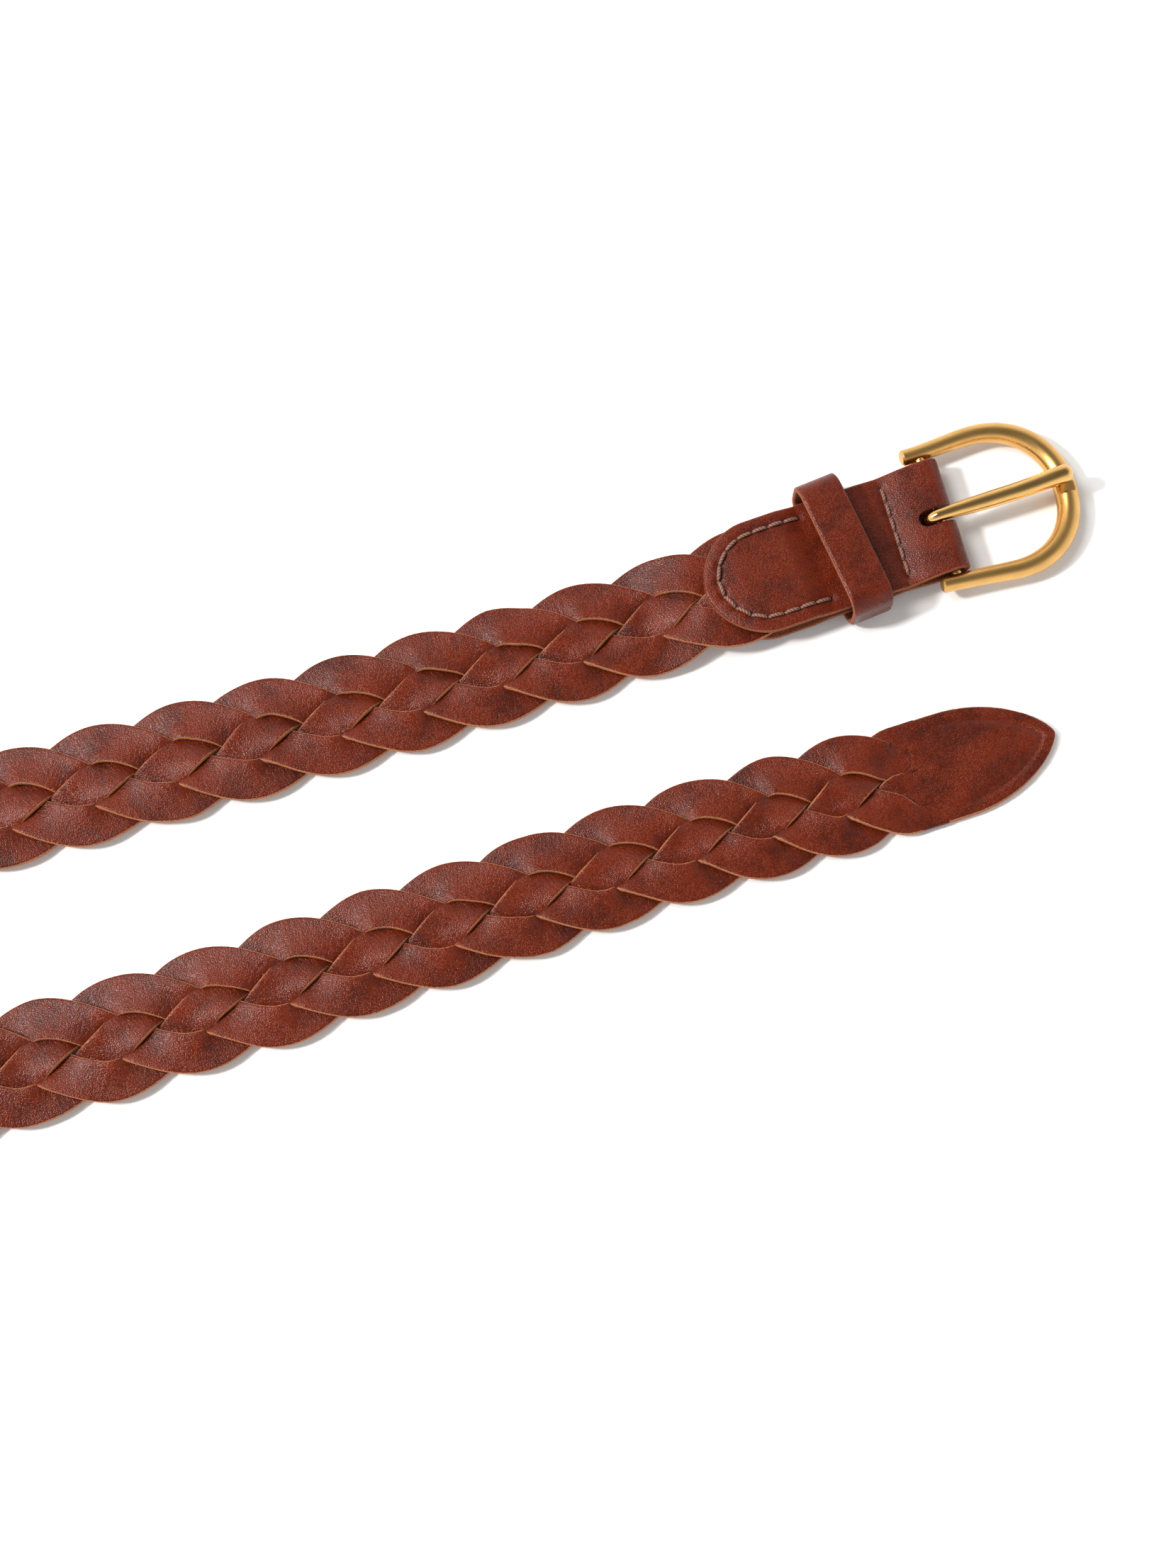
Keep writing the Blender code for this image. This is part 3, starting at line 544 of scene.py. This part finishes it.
def crossing_heights(steps=96, columns=9):
    """How far each strand lies over or under the middle plane, on a grid over one period and across it.

    A crossing strand starts half a unit over or under. The strands are then eased towards lying one unit
    apart wherever they cross.
    """
    phase = 2 * math.pi * np.arange(steps) / steps
    half = STRAND_WIDTH / 2
    place = np.linspace(-half, half, columns)
    fine = 2 * math.pi * np.arange(8 * steps) / (8 * steps)
    course = np.stack([PERIOD * fine / (2 * math.pi), swing(fine)], axis=1)
    repeated = np.concatenate([course[-1:] - [PERIOD, 0], course, course[:1] + [PERIOD, 0]])
    ahead = np.gradient(repeated, axis=0)[1:-1]
    ahead /= np.linalg.norm(ahead, axis=1, keepdims=True)
    normal = np.stack([-ahead[:, 1], ahead[:, 0]], axis=1)
    spots = (course[::8, None] + place[None, :, None] * normal[::8, None]).reshape(-1, 2)
    meets = []
    height = np.zeros(steps * columns)
    for neighbour, over_from in ((1, 3), (2, -2), (3, 1)):
        away = spots[:, None] + [neighbour * PERIOD / STRANDS, 0.0] - course[None]
        away[..., 0] = (away[..., 0] + PERIOD / 2) % PERIOD - PERIOD / 2
        nearest = np.argmin((away**2).sum(axis=2), axis=1)
        beside = (away[np.arange(len(spots)), nearest] * normal[nearest]).sum(axis=1)
        over = np.where((phase - over_from * math.pi / 4) % (2 * math.pi) < math.pi, 1.0, -1.0)
        over = np.repeat(over, columns)
        touch = np.flatnonzero(abs(beside) <= half)
        ducked = np.flatnonzero((abs(beside) <= half + CLEARED) & (over < 0))
        their_row = fine[nearest[touch]] / (2 * math.pi) * steps
        their_column = (beside[touch] / half + 1) / 2 * (columns - 1)
        meets.append((touch, their_row, their_column, over[touch]))
        height[touch] += 0.5 * np.maximum(over[touch], 0)
        height[ducked] -= 0.5
    height = soften(height.reshape(steps, columns), 2, 0)
    for _ in range(EASING):
        before = height
        push = np.zeros(steps * columns)
        for touch, row, column, over in meets:
            low, left = np.floor(row).astype(int), np.clip(np.floor(column).astype(int), 0, columns - 2)
            dr, dc = row - low, column - left
            theirs = sum(
                before[(low + a) % steps, left + b] * abs(1 - a - dr) * abs(1 - b - dc)
                for a in (0, 1)
                for b in (0, 1)
            )
            short = np.maximum(0.0, 1.0 - over * (before.reshape(-1)[touch] - theirs))
            push[touch] += over * short * EASED
        height = soften(before + push.reshape(steps, columns), 1, 1)
        tilt = (height * place).sum(axis=1, keepdims=True) / (place**2).sum() * place
        flat = height.mean(axis=1, keepdims=True) + tilt
        height = flat + CUPPING * (height - flat)
    return height - (height.max() + height.min()) / 2


class Run:
    """The strap's middle line and its twist, read by the distance along it."""

    def __init__(self):
        t = np.linspace(0, 1, 60, endpoint=False)[:, None]
        weights = ((1 - t) ** 3, 3 * t**3 - 6 * t**2 + 4, -3 * t**3 + 3 * t**2 + 3 * t + 1, t**3)
        spans = [sum(w * ROUTE[i + k] for k, w in enumerate(weights)) / 6 for i in range(len(ROUTE) - 3)]
        line = np.concatenate(spans)
        self.reach = path_reach(line)
        half = len(line) // 2
        self.start = np.interp(-BRAID_ENDS[0], -line[:half, 0], self.reach[:half])
        self.end = np.interp(BRAID_ENDS[1], line[half:, 0], self.reach[half:])
        ahead = np.gradient(line, self.reach, axis=0)
        ahead /= np.linalg.norm(ahead, axis=1, keepdims=True)
        inward = np.stack([-ahead[:, 1], ahead[:, 0], np.zeros(len(line))], axis=1)
        roll = (math.pi / 2 * smooth((TWIST_START - line[:, 0]) / (TWIST_START - TWIST_END)))[:, None]
        up = np.array([[0.0, 0.0, 1.0]])
        covered = 1 - smooth((self.reach - self.start - COVERED) / THINNING)
        rooted = 1 - smooth((self.end - self.reach) / THINNING)
        self.share = 1 - (1 - SQUEEZED) * covered
        flat = BRAID_Z * (1 - covered) + STACK_Z * covered - (BRAID_Z - ROOT_Z) * rooted
        level = flat * np.cos(roll[:, 0]) + EDGE_Z * np.sin(roll[:, 0])
        self.centre = np.concatenate([line + BAR_AT[:2], level[:, None]], axis=1)
        self.across = inward * np.cos(roll) + up * np.sin(roll)
        self.up = up * np.cos(roll) - inward * np.sin(roll)

    def at(self, reach, aside, height):
        """Points that lie aside across the strap and height over its middle plane."""
        found = np.empty(reach.shape + (3,))
        for k in range(3):
            centre = np.interp(reach, self.reach, self.centre[:, k])
            across = np.interp(reach, self.reach, self.across[:, k])
            found[..., k] = centre + across * aside + np.interp(reach, self.reach, self.up[:, k]) * height
        return found

    def up_at(self, reach):
        """The direction of the strap's outer face, at one distance along it."""
        return np.array([np.interp(reach, self.reach, self.up[:, k]) for k in range(3)])


def braid_strand(index, heights):
    """One strand of the strap: a domed strip with cut edges, over and under the others in turn."""
    length = run.end - run.start
    turn = (2 * round((8 * length / PERIOD - 1) / 2) + 1) * math.pi / 4
    last = run.end + ROOT_OVERLAP[index]
    steps = round((last - run.start) / PERIOD * SECTIONS)
    reach = np.linspace(run.start, last, steps + 1)
    own = (reach - run.start) / length * turn + math.pi / 8 + index * math.pi / 2
    own = own + TIGHTENED * smooth((reach - run.end + TIGHTENING) / TIGHTENING)
    # Its course, and its leaving of it towards the tip
    rooting = smooth((reach - run.end + ROOT_BLEND) / ROOT_BLEND)
    held = np.minimum(own, own[0] + turn + TIGHTENED)
    aside = swing(held) * (1 - rooting) + ROOT_ASIDE[index] * rooting
    half = STRAND_WIDTH / 2 * (1 - rooting) + ROOT_HALF[index] * rooting
    slope = np.gradient(aside, reach)
    lean = 1 / np.hypot(1, slope)
    place = np.sin(np.linspace(-math.pi / 2, math.pi / 2, 17)) * 0.8 + np.linspace(-1, 1, 17) * 0.2
    # Its height, read from the grid of one period
    row = own / (2 * math.pi) % 1.0 * len(heights)
    low = np.floor(row).astype(int)
    share = (row - low)[:, None]
    wrapped = heights[low % len(heights)] * (1 - share) + heights[(low + 1) % len(heights)] * share
    columns = np.linspace(-1, 1, heights.shape[1])
    height = np.array([np.interp(place, columns, line) for line in wrapped])
    # The hand's unevenness
    wave = rng.normal(0, 1, (len(reach) // 5 + 3, 3))
    knots = np.linspace(reach[0], reach[-1], len(wave))
    drift = [np.interp(reach, knots, wave[:, k]) for k in range(3)]
    aside = aside + drift[0] * WANDER_ASIDE * (1 - rooting)
    half = half * (1 + WANDER_WIDTH * drift[1])
    height = height * (1 + WANDER_HEIGHT * drift[2])[:, None]
    along = reach[:, None] - place * (half * slope * lean)[:, None]
    fade = (1 - smooth((reach - run.end + ROOT_DROP[index]) / ROOT_FALL[index]))[:, None]
    lift = height * 2 * RIDE * (np.interp(along, run.reach, run.share) * fade)
    middle = run.at(along, aside[:, None] + place * (half * lean)[:, None], lift)
    normal = normals_of(middle)
    third = len(normal) // 3
    normal *= np.sign((normal[third, 8] * run.up_at(reach[third])).sum())
    rounding = np.interp(1 - abs(place), *zip(*EDGE_PROFILE))
    under = np.where(rounding < 0.9, rounding * 0.8, 0.95)
    thick = LEATHER / 2 - END_THINNED * smooth((reach - run.end - ROOT_OVERLAP[index] + 0.002) / 0.002)
    climb = np.gradient(height, axis=0) / np.gradient(reach)[:, None]
    stretch = np.clip(abs(climb) * 0.0075, 0, 1) * fade
    # Painted shade where the strand runs low under the others, and a lighter rubbed tone where it rides high
    crest = np.clip(0.5 + height * 0.62, 0, 1) * fade + 0.55 * (1 - fade)
    tops, bottoms = thick[:, None] * rounding, thick[:, None] * under
    dyed = smooth((reach - run.end + 0.0035) / 0.003)
    strand = sheet_skin(f"strand_{index + 1}", middle, normal, tops, bottoms, reach, place * half[:, None],
                        cut=0.00030, dyed=dyed, crest=crest, stretch=stretch)
    return add_piece(strand, "strap", "braid_leather", BRAID_LEATHER, f"braid_strand_{index + 1}")


# ---------------------------------------------------------------- tip and chape


def distance_to(outline, x, y):
    """The distance of each point of a grid from a dense outline."""
    found = np.full(x.shape, 1.0)
    for ox, oy in outline:
        np.minimum(found, np.hypot(x - ox, y - oy), out=found)
    return found


def edge_round(distance, radius):
    """How far a worn edge drops below the face, at a distance from it."""
    inside = np.clip(radius - distance, 0, radius)
    return radius - np.sqrt(np.maximum(radius**2 - inside**2, 0))


def strap_tip():
    """The uncut end of the strap, with a creased line inside its edge."""
    long = TIP_FAR - TIP_CORNER
    turn = np.linspace(math.pi / 2, 0, 44)
    x = np.concatenate([np.linspace(TIP_NEAR, TIP_CORNER, 26)[:-1], TIP_CORNER + long * np.cos(turn)])
    share = np.clip((x - TIP_CORNER) / long, 0, 1)
    half = TIP_HALF * np.maximum(1 - share**2, 0) ** TIP_POWER
    half[-1] = 0.0002
    across = np.sin(np.linspace(-math.pi / 2, math.pi / 2, 47))
    grid_x = np.repeat(x[:, None], len(across), axis=1)
    grid_y = half[:, None] * across
    upper = np.stack([x, half], axis=1)
    rim = dense(np.concatenate([upper, upper[::-1] * [1, -1]]))
    rim = rim[rim[:, 0] > TIP_NEAR + 0.0004]
    distance = distance_to(rim, grid_x, grid_y)
    behind, past = grid_x - TIP_NEAR, grid_x - TIP_CORNER
    line = np.exp(-(((distance - TIP_CREASE) / CREASE_WIDTH) ** 2))
    crease = CREASE_DEPTH * line * smooth((past + 0.004) / 0.008)
    dip = TIP_DIP * (1 - smooth(behind / TIP_DIP_LENGTH))
    swell = TIP_SWELL * smooth((distance - TIP_CREASE) / 0.003) * smooth(past / 0.010)
    top = TIP_THICKNESS - edge_round(distance, 0.0007) - crease - dip + swell
    bottom = edge_round(distance, 0.0005)
    pucker = PUCKER * np.exp(-(((behind - 0.0035) / 0.0045) ** 2) - ((grid_y - 0.0095) / 0.0030) ** 2)
    top = top + pucker * np.sin(grid_y * 3100 + grid_x * 900)
    inset = 1 - 0.20 * (1 - smooth(behind / 0.0085))
    low = np.stack([grid_x, grid_y * inset + TIP_ASIDE, bottom], axis=-1)
    high = np.stack([grid_x, grid_y * inset + TIP_ASIDE, np.maximum(top, bottom + 0.0002)], axis=-1)
    middle = (low + high) / 2 + [BAR.x, BAR.y, 0.0]
    thick = (high - low)[..., 2] / 2
    upward = np.broadcast_to([0.0, 0.0, 1.0], middle.shape)
    # Painted highlight along the creased line, stronger towards the point, and a little darker right at the
    # edge
    edge_tone_and_painted_light = 0.55 + 0.35 * line * smooth(past / 0.02) - 0.12 * smooth((0.0012 - distance) / 0.001)
    piece = sheet_skin("tip", middle, upward, thick, thick, x, grid_y, crest=edge_tone_and_painted_light, stretch=0.0)
    return add_piece(piece, "strap", "braid_leather", BRAID_LEATHER, "strap_tip", "strap_root")


def half_gap(x):
    """Half the gap between the flaps at a distance from the crossbar."""
    return np.interp(x, *zip(*HALF_GAPS))


def flap_half(x, inset=0.0):
    """Half the flaps' width at a distance from the crossbar."""
    nose = CHAPE_NOSE - inset
    share = np.clip((x + CHAPE_LENGTH - CHAPE_NOSE) / -nose, 0, 1)
    return (CHAPE_HALF - inset) * np.maximum(1 - share**1.9, 0) ** 0.55


def sheared(x, y):
    """The tab's end lies square to the buckle, which is turned a little from the tab."""
    return x - y * math.tan(BUCKLE_TURN - CHAPE_TURN) * smooth((x + 0.026) / 0.013)


def plump(x, across):
    """How far the flap swells over the strands between its sides."""
    return FLAP_SWELL * smooth((-0.030 - x) / 0.012) * (1 - abs(across) ** 3)


def seam_path():
    """The U seam's line, from one side round the nose to the other."""
    nose = CHAPE_NOSE - SEAM_INSET
    turn = np.linspace(0, math.pi / 2, 40)
    x = np.concatenate([[SEAM_END], -CHAPE_LENGTH + CHAPE_NOSE - nose * np.sin(turn)])
    y = flap_half(x, SEAM_INSET)
    y[-1] = 0.0
    return np.concatenate([np.stack([x, y], axis=1), np.stack([x, -y], axis=1)[-2::-1]])


def stitches(path):
    """The points along a seam's path where its stitches meet."""
    path = dense(path, 0.0001)
    reach = path_reach(path)
    ends = np.linspace(0, reach[-1], round(reach[-1] / STITCH) + 1)
    return np.stack([np.interp(ends, reach, path[:, k]) for k in (0, 1)], axis=1)


def cut_slot(piece):
    """The tab with the tongue's slot cut through its fold."""
    wide = SLOT_WIDTH / 2
    turn = np.radians(np.linspace(90, 270, 15))
    slot = [(wide * math.cos(a) - SLOT_LENGTH + wide, wide * math.sin(a)) for a in turn]
    slot = [(SLOT_CUTTER, wide), *slot, (SLOT_CUTTER, -wide)]
    walls = np.array([[(x, y, z) for x, y in slot] for z in (-SLOT_CUTTER, SLOT_CUTTER)])
    cutter = skin("slot_cutter", on_tongue(walls))
    bpy.context.scene.collection.objects.link(piece)
    bpy.context.scene.collection.objects.link(cutter)
    cut = piece.modifiers.new("slot", "BOOLEAN")
    cut.operation = "DIFFERENCE"
    cut.object = cutter
    cut.solver = "EXACT"
    graph = bpy.context.evaluated_depsgraph_get()
    mesh = bpy.data.meshes.new_from_object(piece.evaluated_get(graph))
    bpy.data.objects.remove(cutter)
    bpy.data.objects.remove(piece)
    mesh.shade_smooth()
    mesh.set_sharp_from_angle(angle=math.radians(55))
    return bpy.data.objects.new("folded_tab", mesh)


def chape(seams):
    """The tab: a strip of leather folded round the crossbar, with both flaps cut to one rounded outline."""
    turn = np.linspace(0, math.pi / 2, 22)
    nose = -CHAPE_LENGTH + CHAPE_NOSE - CHAPE_NOSE * np.cos(turn)
    flap_x = np.concatenate([nose, np.linspace(nose[-1], FOLD_START, 56)[1:]])
    bend = np.radians(np.linspace(100, -100, 19))
    fold = np.stack([FOLD_RADIUS * np.cos(bend), FOLD_RADIUS * np.sin(bend)], axis=1)
    level = half_gap(flap_x) + CHAPE_THICKNESS / 2
    pinch = NOSE_PINCH * smooth((-CHAPE_LENGTH + 0.012 - flap_x) / 0.014)
    front = np.stack([flap_x, level - pinch * 0.6], axis=1)
    back = np.stack([flap_x, -level + pinch * 0.9], axis=1)[::-1]
    line = np.concatenate([front, fold, back])
    half = np.concatenate([flap_half(flap_x), [CHAPE_HALF] * len(fold), flap_half(flap_x)[::-1]])
    half[[0, -1]] = 0.0003
    across = np.sin(np.linspace(-math.pi / 2, math.pi / 2, 47)) * 0.85 + np.linspace(-1, 1, 47) * 0.15
    grid_x = np.repeat(line[:, :1], len(across), axis=1)
    grid_y = half[:, None] * across
    ahead = np.gradient(line, axis=0)
    ahead /= np.linalg.norm(ahead, axis=1, keepdims=True)
    normal = np.stack([-ahead[:, 1], np.zeros(len(line)), ahead[:, 0]], axis=1)
    # How far each point lies from the cut edge
    upper = np.stack([flap_x, flap_half(flap_x)], axis=1)
    rim = dense(np.concatenate([(upper * [1, -1])[::-1], upper]), 0.0004)
    distance = distance_to(rim, grid_x, grid_y)
    distance[grid_x > -0.006] = 0.01
    distance = np.minimum(distance, (half[:, None] * (1 - abs(across))) + 1e-6)
    # How far the stitches press the leather in
    pressed = np.zeros(grid_x.shape)
    for points in seams:
        for x, y in points:
            pressed += HOLE_DEPTH * np.exp(-(((grid_x - x) ** 2 + (grid_y - y) ** 2) / HOLE_RADIUS**2))
        trace = distance_to(dense(points, 0.0006), grid_x, grid_y)
        pressed += GROOVE_DEPTH * np.exp(-((trace / GROOVE_WIDTH) ** 2))
    grid_z = np.repeat(line[:, 1:], len(across), axis=1)
    middle = np.stack([sheared(grid_x, grid_y), grid_y, grid_z], axis=-1)
    tops = CHAPE_THICKNESS / 2 - edge_round(distance, CHAPE_ROUND) - pressed + plump(grid_x, across)
    bottoms = CHAPE_THICKNESS / 2 - edge_round(distance, 0.0003)
    # Lighter along its edges as rubbed wear and in a band beside the crossbar on the outer flap as a painted
    # highlight; darkened in the seams as painted shade
    edge_tone_and_painted_light = 0.55 + 0.30 * smooth((0.0016 - distance) / 0.0010)
    edge_tone_and_painted_light = edge_tone_and_painted_light - 1.5 * np.clip((pressed - 0.0002) / 0.0004, 0, 1)
    outer = (np.arange(len(line)) < len(front) + 6)[:, None]
    edge_tone_and_painted_light = edge_tone_and_painted_light + 0.22 * (np.exp(-(((grid_x + 0.010) / 0.0028) ** 2)) * outer)
    normals = turned(np.broadcast_to(normal[:, None], middle.shape), CHAPE_TURN)
    piece = sheet_skin("folded_tab", on_chape(middle), normals, tops, bottoms, path_reach(line), grid_y,
                       crest=np.clip(edge_tone_and_painted_light, -1, 1), stretch=0.0)
    return add_piece(cut_slot(piece), "strap", "chape_leather", CHAPE_LEATHER, "chape")


def seam(name, node, points):
    """The stitches of a seam: each one comes up through the flap, lies over it and goes down again."""
    t = np.linspace(-0.5, 0.5, 13)
    arch = STITCH_ARCH * np.cos(math.pi * t) - STITCH_DIVE * np.clip(abs(t) - 0.38, 0, 1) / 0.12
    radii = THREAD_RADIUS * (1 - 0.25 * (2 * abs(t)) ** 4)
    made = []
    for side, sunk in ((1, 0.0), (-1, BACK_SUNK)):
        for near, far in zip(points[:-1], points[1:]):
            x, y = ((near + far) / 2 + (far - near) * t[:, None] * 0.92).T
            level = half_gap(x) + CHAPE_THICKNESS + arch + plump(x, y / CHAPE_HALF)
            rings, uv = tube(np.column_stack([sheared(x, y), y, side * (level - sunk)]), radii, 10)
            made.append(skin("stitch", on_chape(rings), uv=uv))
    return add_piece(joined(name, made), "strap", "thread", THREAD, node)


# ---------------------------------------------------------------- keeper


def keeper():
    """A band of leather bent into a ring with rounded corners, a little askew."""
    low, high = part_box("keeper")
    middle = np.array((low + high) / 2)
    half_long, half_tall = (KEEPER_LONG - KEEPER_THICK) / 2, (KEEPER_TALL - KEEPER_THICK) / 2
    ring = []
    for quarter, (sx, sy) in enumerate(((1, 1), (-1, 1), (-1, -1), (1, -1))):
        for k in range(9):
            turn = math.pi / 2 * (quarter + k / 8)
            ring.append((sx * (half_long - KEEPER_CORNER) + KEEPER_CORNER * math.cos(turn),
                         sy * (half_tall - KEEPER_CORNER) + KEEPER_CORNER * math.sin(turn)))
    ring = dense(ring, KEEPER_STEP, closed=True)[:-1]
    ring[:, 1] += KEEPER_BULGE * np.cos(ring[:, 0] / half_long * math.pi / 2) * np.sign(ring[:, 1])
    across = np.sin(np.linspace(-math.pi / 2, math.pi / 2, 17)) * 0.7 + np.linspace(-1, 1, 17) * 0.3
    along = (across * KEEPER_BAND / 2)[None]
    grid = np.stack(np.broadcast_arrays(along, ring[:, None, 0], ring[:, None, 1]), axis=-1)
    normal = normals_of(grid, closed=True)
    outward = np.sign((normal * (grid * [0, 1, 1])).sum())
    edge = KEEPER_BAND / 2 * (1 - abs(across))
    tops = np.broadcast_to(KEEPER_THICK / 2 - edge_round(edge, 0.0006), grid.shape[:2])
    bottoms = np.broadcast_to(KEEPER_THICK / 2 - edge_round(edge, 0.0003), grid.shape[:2])
    reach = np.arange(len(ring)) * KEEPER_STEP
    crest = 0.5 + 0.3 * smooth((0.0013 - edge) / 0.0009)
    turn = CHAPE_TURN + KEEPER_TURN
    place = turned(grid, turn) + middle + KEEPER_SHIFT
    normal = turned(normal * outward, turn)
    piece = sheet_skin("keeper_loop", place, normal, tops, bottoms, reach, grid[..., 0],
                       closed=True, crest=crest, stretch=0.0)
    return add_piece(piece, "keeper", "chape_leather", CHAPE_LEATHER, "keeper")


# ---------------------------------------------------------------- buckle


def ended(points, radii, chamfer):
    """A bar's line and radii with a chamfer at each end."""
    points, radii = np.asarray(points), np.asarray(radii)
    first, last = points[0] - points[1], points[-1] - points[-2]
    first, last = first / np.linalg.norm(first), last / np.linalg.norm(last)
    line = np.concatenate([[points[0]], [points[0] - first * chamfer * 0.9], points[1:-1],
                           [points[-1] - last * chamfer * 0.9], [points[-1]]])
    wide = np.concatenate([[radii[0] - chamfer], radii, [radii[-1] - chamfer]])
    return line, wide


def eased(line, passes):
    """A path with its corners rounded and its two ends held."""
    for _ in range(passes):
        line[1:-1] = (line[:-2] + 2 * line[1:-1] + line[2:]) / 4
    return line


def buckle_frame():
    """Two straight rails that thicken into a rounded bow, with a notch in its top for the tongue."""
    side = [(RAIL_TAIL, RAIL_HALF_GAP), (0.006, RAIL_HALF_GAP + 0.0002), (RAIL_STRAIGHT, RAIL_HALF_WIDE)]
    power = 2 / BOW_POWER
    bow = [(RAIL_STRAIGHT + BOW_LENGTH * math.sin(a) ** power, RAIL_HALF_WIDE * math.cos(a) ** power)
           for a in np.linspace(0, math.pi / 2, 40)[1:-1]]
    half = [*dense(side, 0.001), *bow]
    line = np.array([*half, (RAIL_STRAIGHT + BOW_LENGTH, 0.0), *[(x, -y) for x, y in reversed(half)]])
    near_tail = 1 - smooth((line[:, 0] - RAIL_TAIL) / (RAIL_STRAIGHT - RAIL_TAIL))
    line[:, 1] -= TAIL_PINCH * near_tail * (line[:, 1] > 0)
    line = eased(dense(line, 0.00045), 6)
    reach = (line[:, 0] - RAIL_TAIL) / (RAIL_STRAIGHT + BOW_LENGTH - RAIL_TAIL)
    radii = RAIL_RADIUS + (BOW_RADIUS - RAIL_RADIUS) * np.clip(reach, 0, 1) ** 1.3
    line, radii = ended(np.column_stack([line, np.zeros(len(line))]), radii, 0.0005)
    rings, uv = tube(line, radii, 32)
    beside = abs(rings[..., 1] - NOTCH_OFFSET)
    notch_z = BOW_RADIUS - NOTCH_DEPTH + 0.02 * smooth((beside - NOTCH_WIDTH / 2) / 0.0004)
    on_bow = rings[..., 0] > RAIL_STRAIGHT
    rings[..., 2] = np.where(on_bow, np.minimum(rings[..., 2], notch_z), rings[..., 2])
    piece = skin("buckle_bow", on_buckle(rings), uv=uv)
    piece.data.set_sharp_from_angle(angle=math.radians(38))
    return add_piece(piece, "buckle", "satin_brass", SATIN_BRASS, "buckle_frame")


def cross_bar():
    """The bar between the rails that the chape is folded round."""
    line, radii = ended([(0, y, 0) for y in np.linspace(-BAR_HALF, BAR_HALF, 12)], [BAR_RADIUS] * 12, 0.0003)
    rings, uv = tube(line, radii, 24)
    piece = skin("bar", on_buckle(rings), uv=uv)
    return add_piece(piece, "buckle", "satin_brass", SATIN_BRASS, "cross_bar")


def tongue():
    """A pin curled round the crossbar from below. It lies over the window and its end rests on the bow."""
    wrap = BAR_RADIUS + CURL_GAP + CURL_RADIUS
    turn = np.radians(np.linspace(-50, -285, 30))
    curl = [(wrap * math.cos(a), wrap * math.sin(a), CURL_RADIUS) for a in turn]
    knots = np.array([*curl, *TONGUE_LINE])
    reach = path_reach(knots[:, :2])
    places = np.linspace(0, reach[-1], 150)
    line = eased(np.stack([np.interp(places, reach, knots[:, k]) for k in range(3)], axis=1), 9)
    x, z, radius = line[-1]
    cap = np.linspace(0, math.pi / 2, 10)[1:]
    nose = [(x + radius * 0.9 * math.sin(a), z, radius * max(math.cos(a) ** 0.9, 0.04)) for a in cap]
    line = np.concatenate([line, nose])
    middle = np.column_stack([line[:, 0], np.zeros(len(line)), line[:, 1]])
    rings, uv = tube(middle, line[:, 2], 24, lift=(0.0, 1.0, 0.0))
    piece = skin("pin", on_tongue(rings), uv=uv)
    return add_piece(piece, "tongue", "polished_brass", POLISHED_BRASS, "tongue")


# ---------------------------------------------------------------- the belt

rng = np.random.default_rng(SEED)
run = Run()
heights = crossing_heights()
for strand in range(STRANDS):
    braid_strand(strand, heights)
strap_tip()
u_seam = stitches(seam_path())
bar_seam = stitches([(BAR_SEAM, -BAR_SEAM_HALF), (BAR_SEAM, BAR_SEAM_HALF)])
chape((u_seam, bar_seam))
seam("u_stitches", "stitching_u", u_seam)
seam("bar_stitches", "stitching_bar", bar_seam)
keeper()
buckle_frame()
cross_bar()
tongue()

# ---------------------------------------------------------------- surface, light and camera


def area_light(name, from_direction, distance, size, power, tint):
    """A round lamp that faces the belt."""
    data = bpy.data.lights.new(name, "AREA")
    data.shape = "DISK"
    data.size = size
    data.energy = power
    data.color = tint
    lamp = bpy.data.objects.new(name, data)
    bpy.context.scene.collection.objects.link(lamp)
    lamp.location = LIT + Vector(from_direction).normalized() * distance
    lamp.rotation_euler = (LIT - lamp.location).to_track_quat("-Z", "Y").to_euler()


mesh = bpy.data.meshes.new("surface")
corners = [(x * SURFACE_HALF, y * SURFACE_HALF, 0.0) for x, y in ((-1, -1), (1, -1), (1, 1), (-1, 1))]
mesh.from_pydata(corners, [], [(0, 1, 2, 3)])
surface = bpy.data.objects.new("surface", mesh)
bpy.context.scene.collection.objects.link(surface)
surface.data.materials.append(pale_floor())
surface.location.z = SURFACE_Z

world = bpy.data.worlds.new("studio")
bpy.context.scene.world = world
world.use_nodes = True
sky = world.node_tree
direction = sky.nodes.new("ShaderNodeSeparateXYZ")
sky.links.new(sky.nodes.new("ShaderNodeTexCoord").outputs["Generated"], direction.inputs[0])
strength = sky.nodes.new("ShaderNodeMapRange")
strength.interpolation_type = "SMOOTHSTEP"
strength.inputs["From Min"].default_value = SKY_SIDES
strength.inputs["From Max"].default_value = SKY_TOP
strength.inputs["To Min"].default_value = SIDES_STRENGTH
strength.inputs["To Max"].default_value = TOP_STRENGTH
sky.links.new(direction.outputs["Z"], strength.inputs["Value"])
sky.links.new(strength.outputs["Result"], sky.nodes["Background"].inputs["Strength"])
sky.nodes["Background"].inputs["Color"].default_value = colour(1.0, 1.0, 1.0)
area_light("key", (-0.960, 0.25, 1.00), distance=2.6, size=0.34, power=57.0, tint=(1.0, 0.985, 0.965))
area_light("softbox", (-0.62, 0.50, 1.35), distance=2.2, size=0.8, power=22.0, tint=(1.0, 0.99, 0.98))
bpy.context.scene.view_settings.view_transform = "Standard"

camera = bpy.data.objects.new("camera", bpy.data.cameras.new("camera"))
bpy.context.scene.collection.objects.link(camera)
camera.data.lens = LENS
camera.data.sensor_width = SENSOR
camera.data.sensor_fit = "AUTO"
camera.location = BAR + VIEW_FROM
ahead = (VIEW_AT - VIEW_FROM).normalized()
right = Vector((math.cos(VIEW_ROLL), -math.sin(VIEW_ROLL), 0.0))
camera.rotation_euler = Matrix((right, right.cross(ahead), -ahead)).transposed().to_euler()
bpy.context.scene.camera = camera
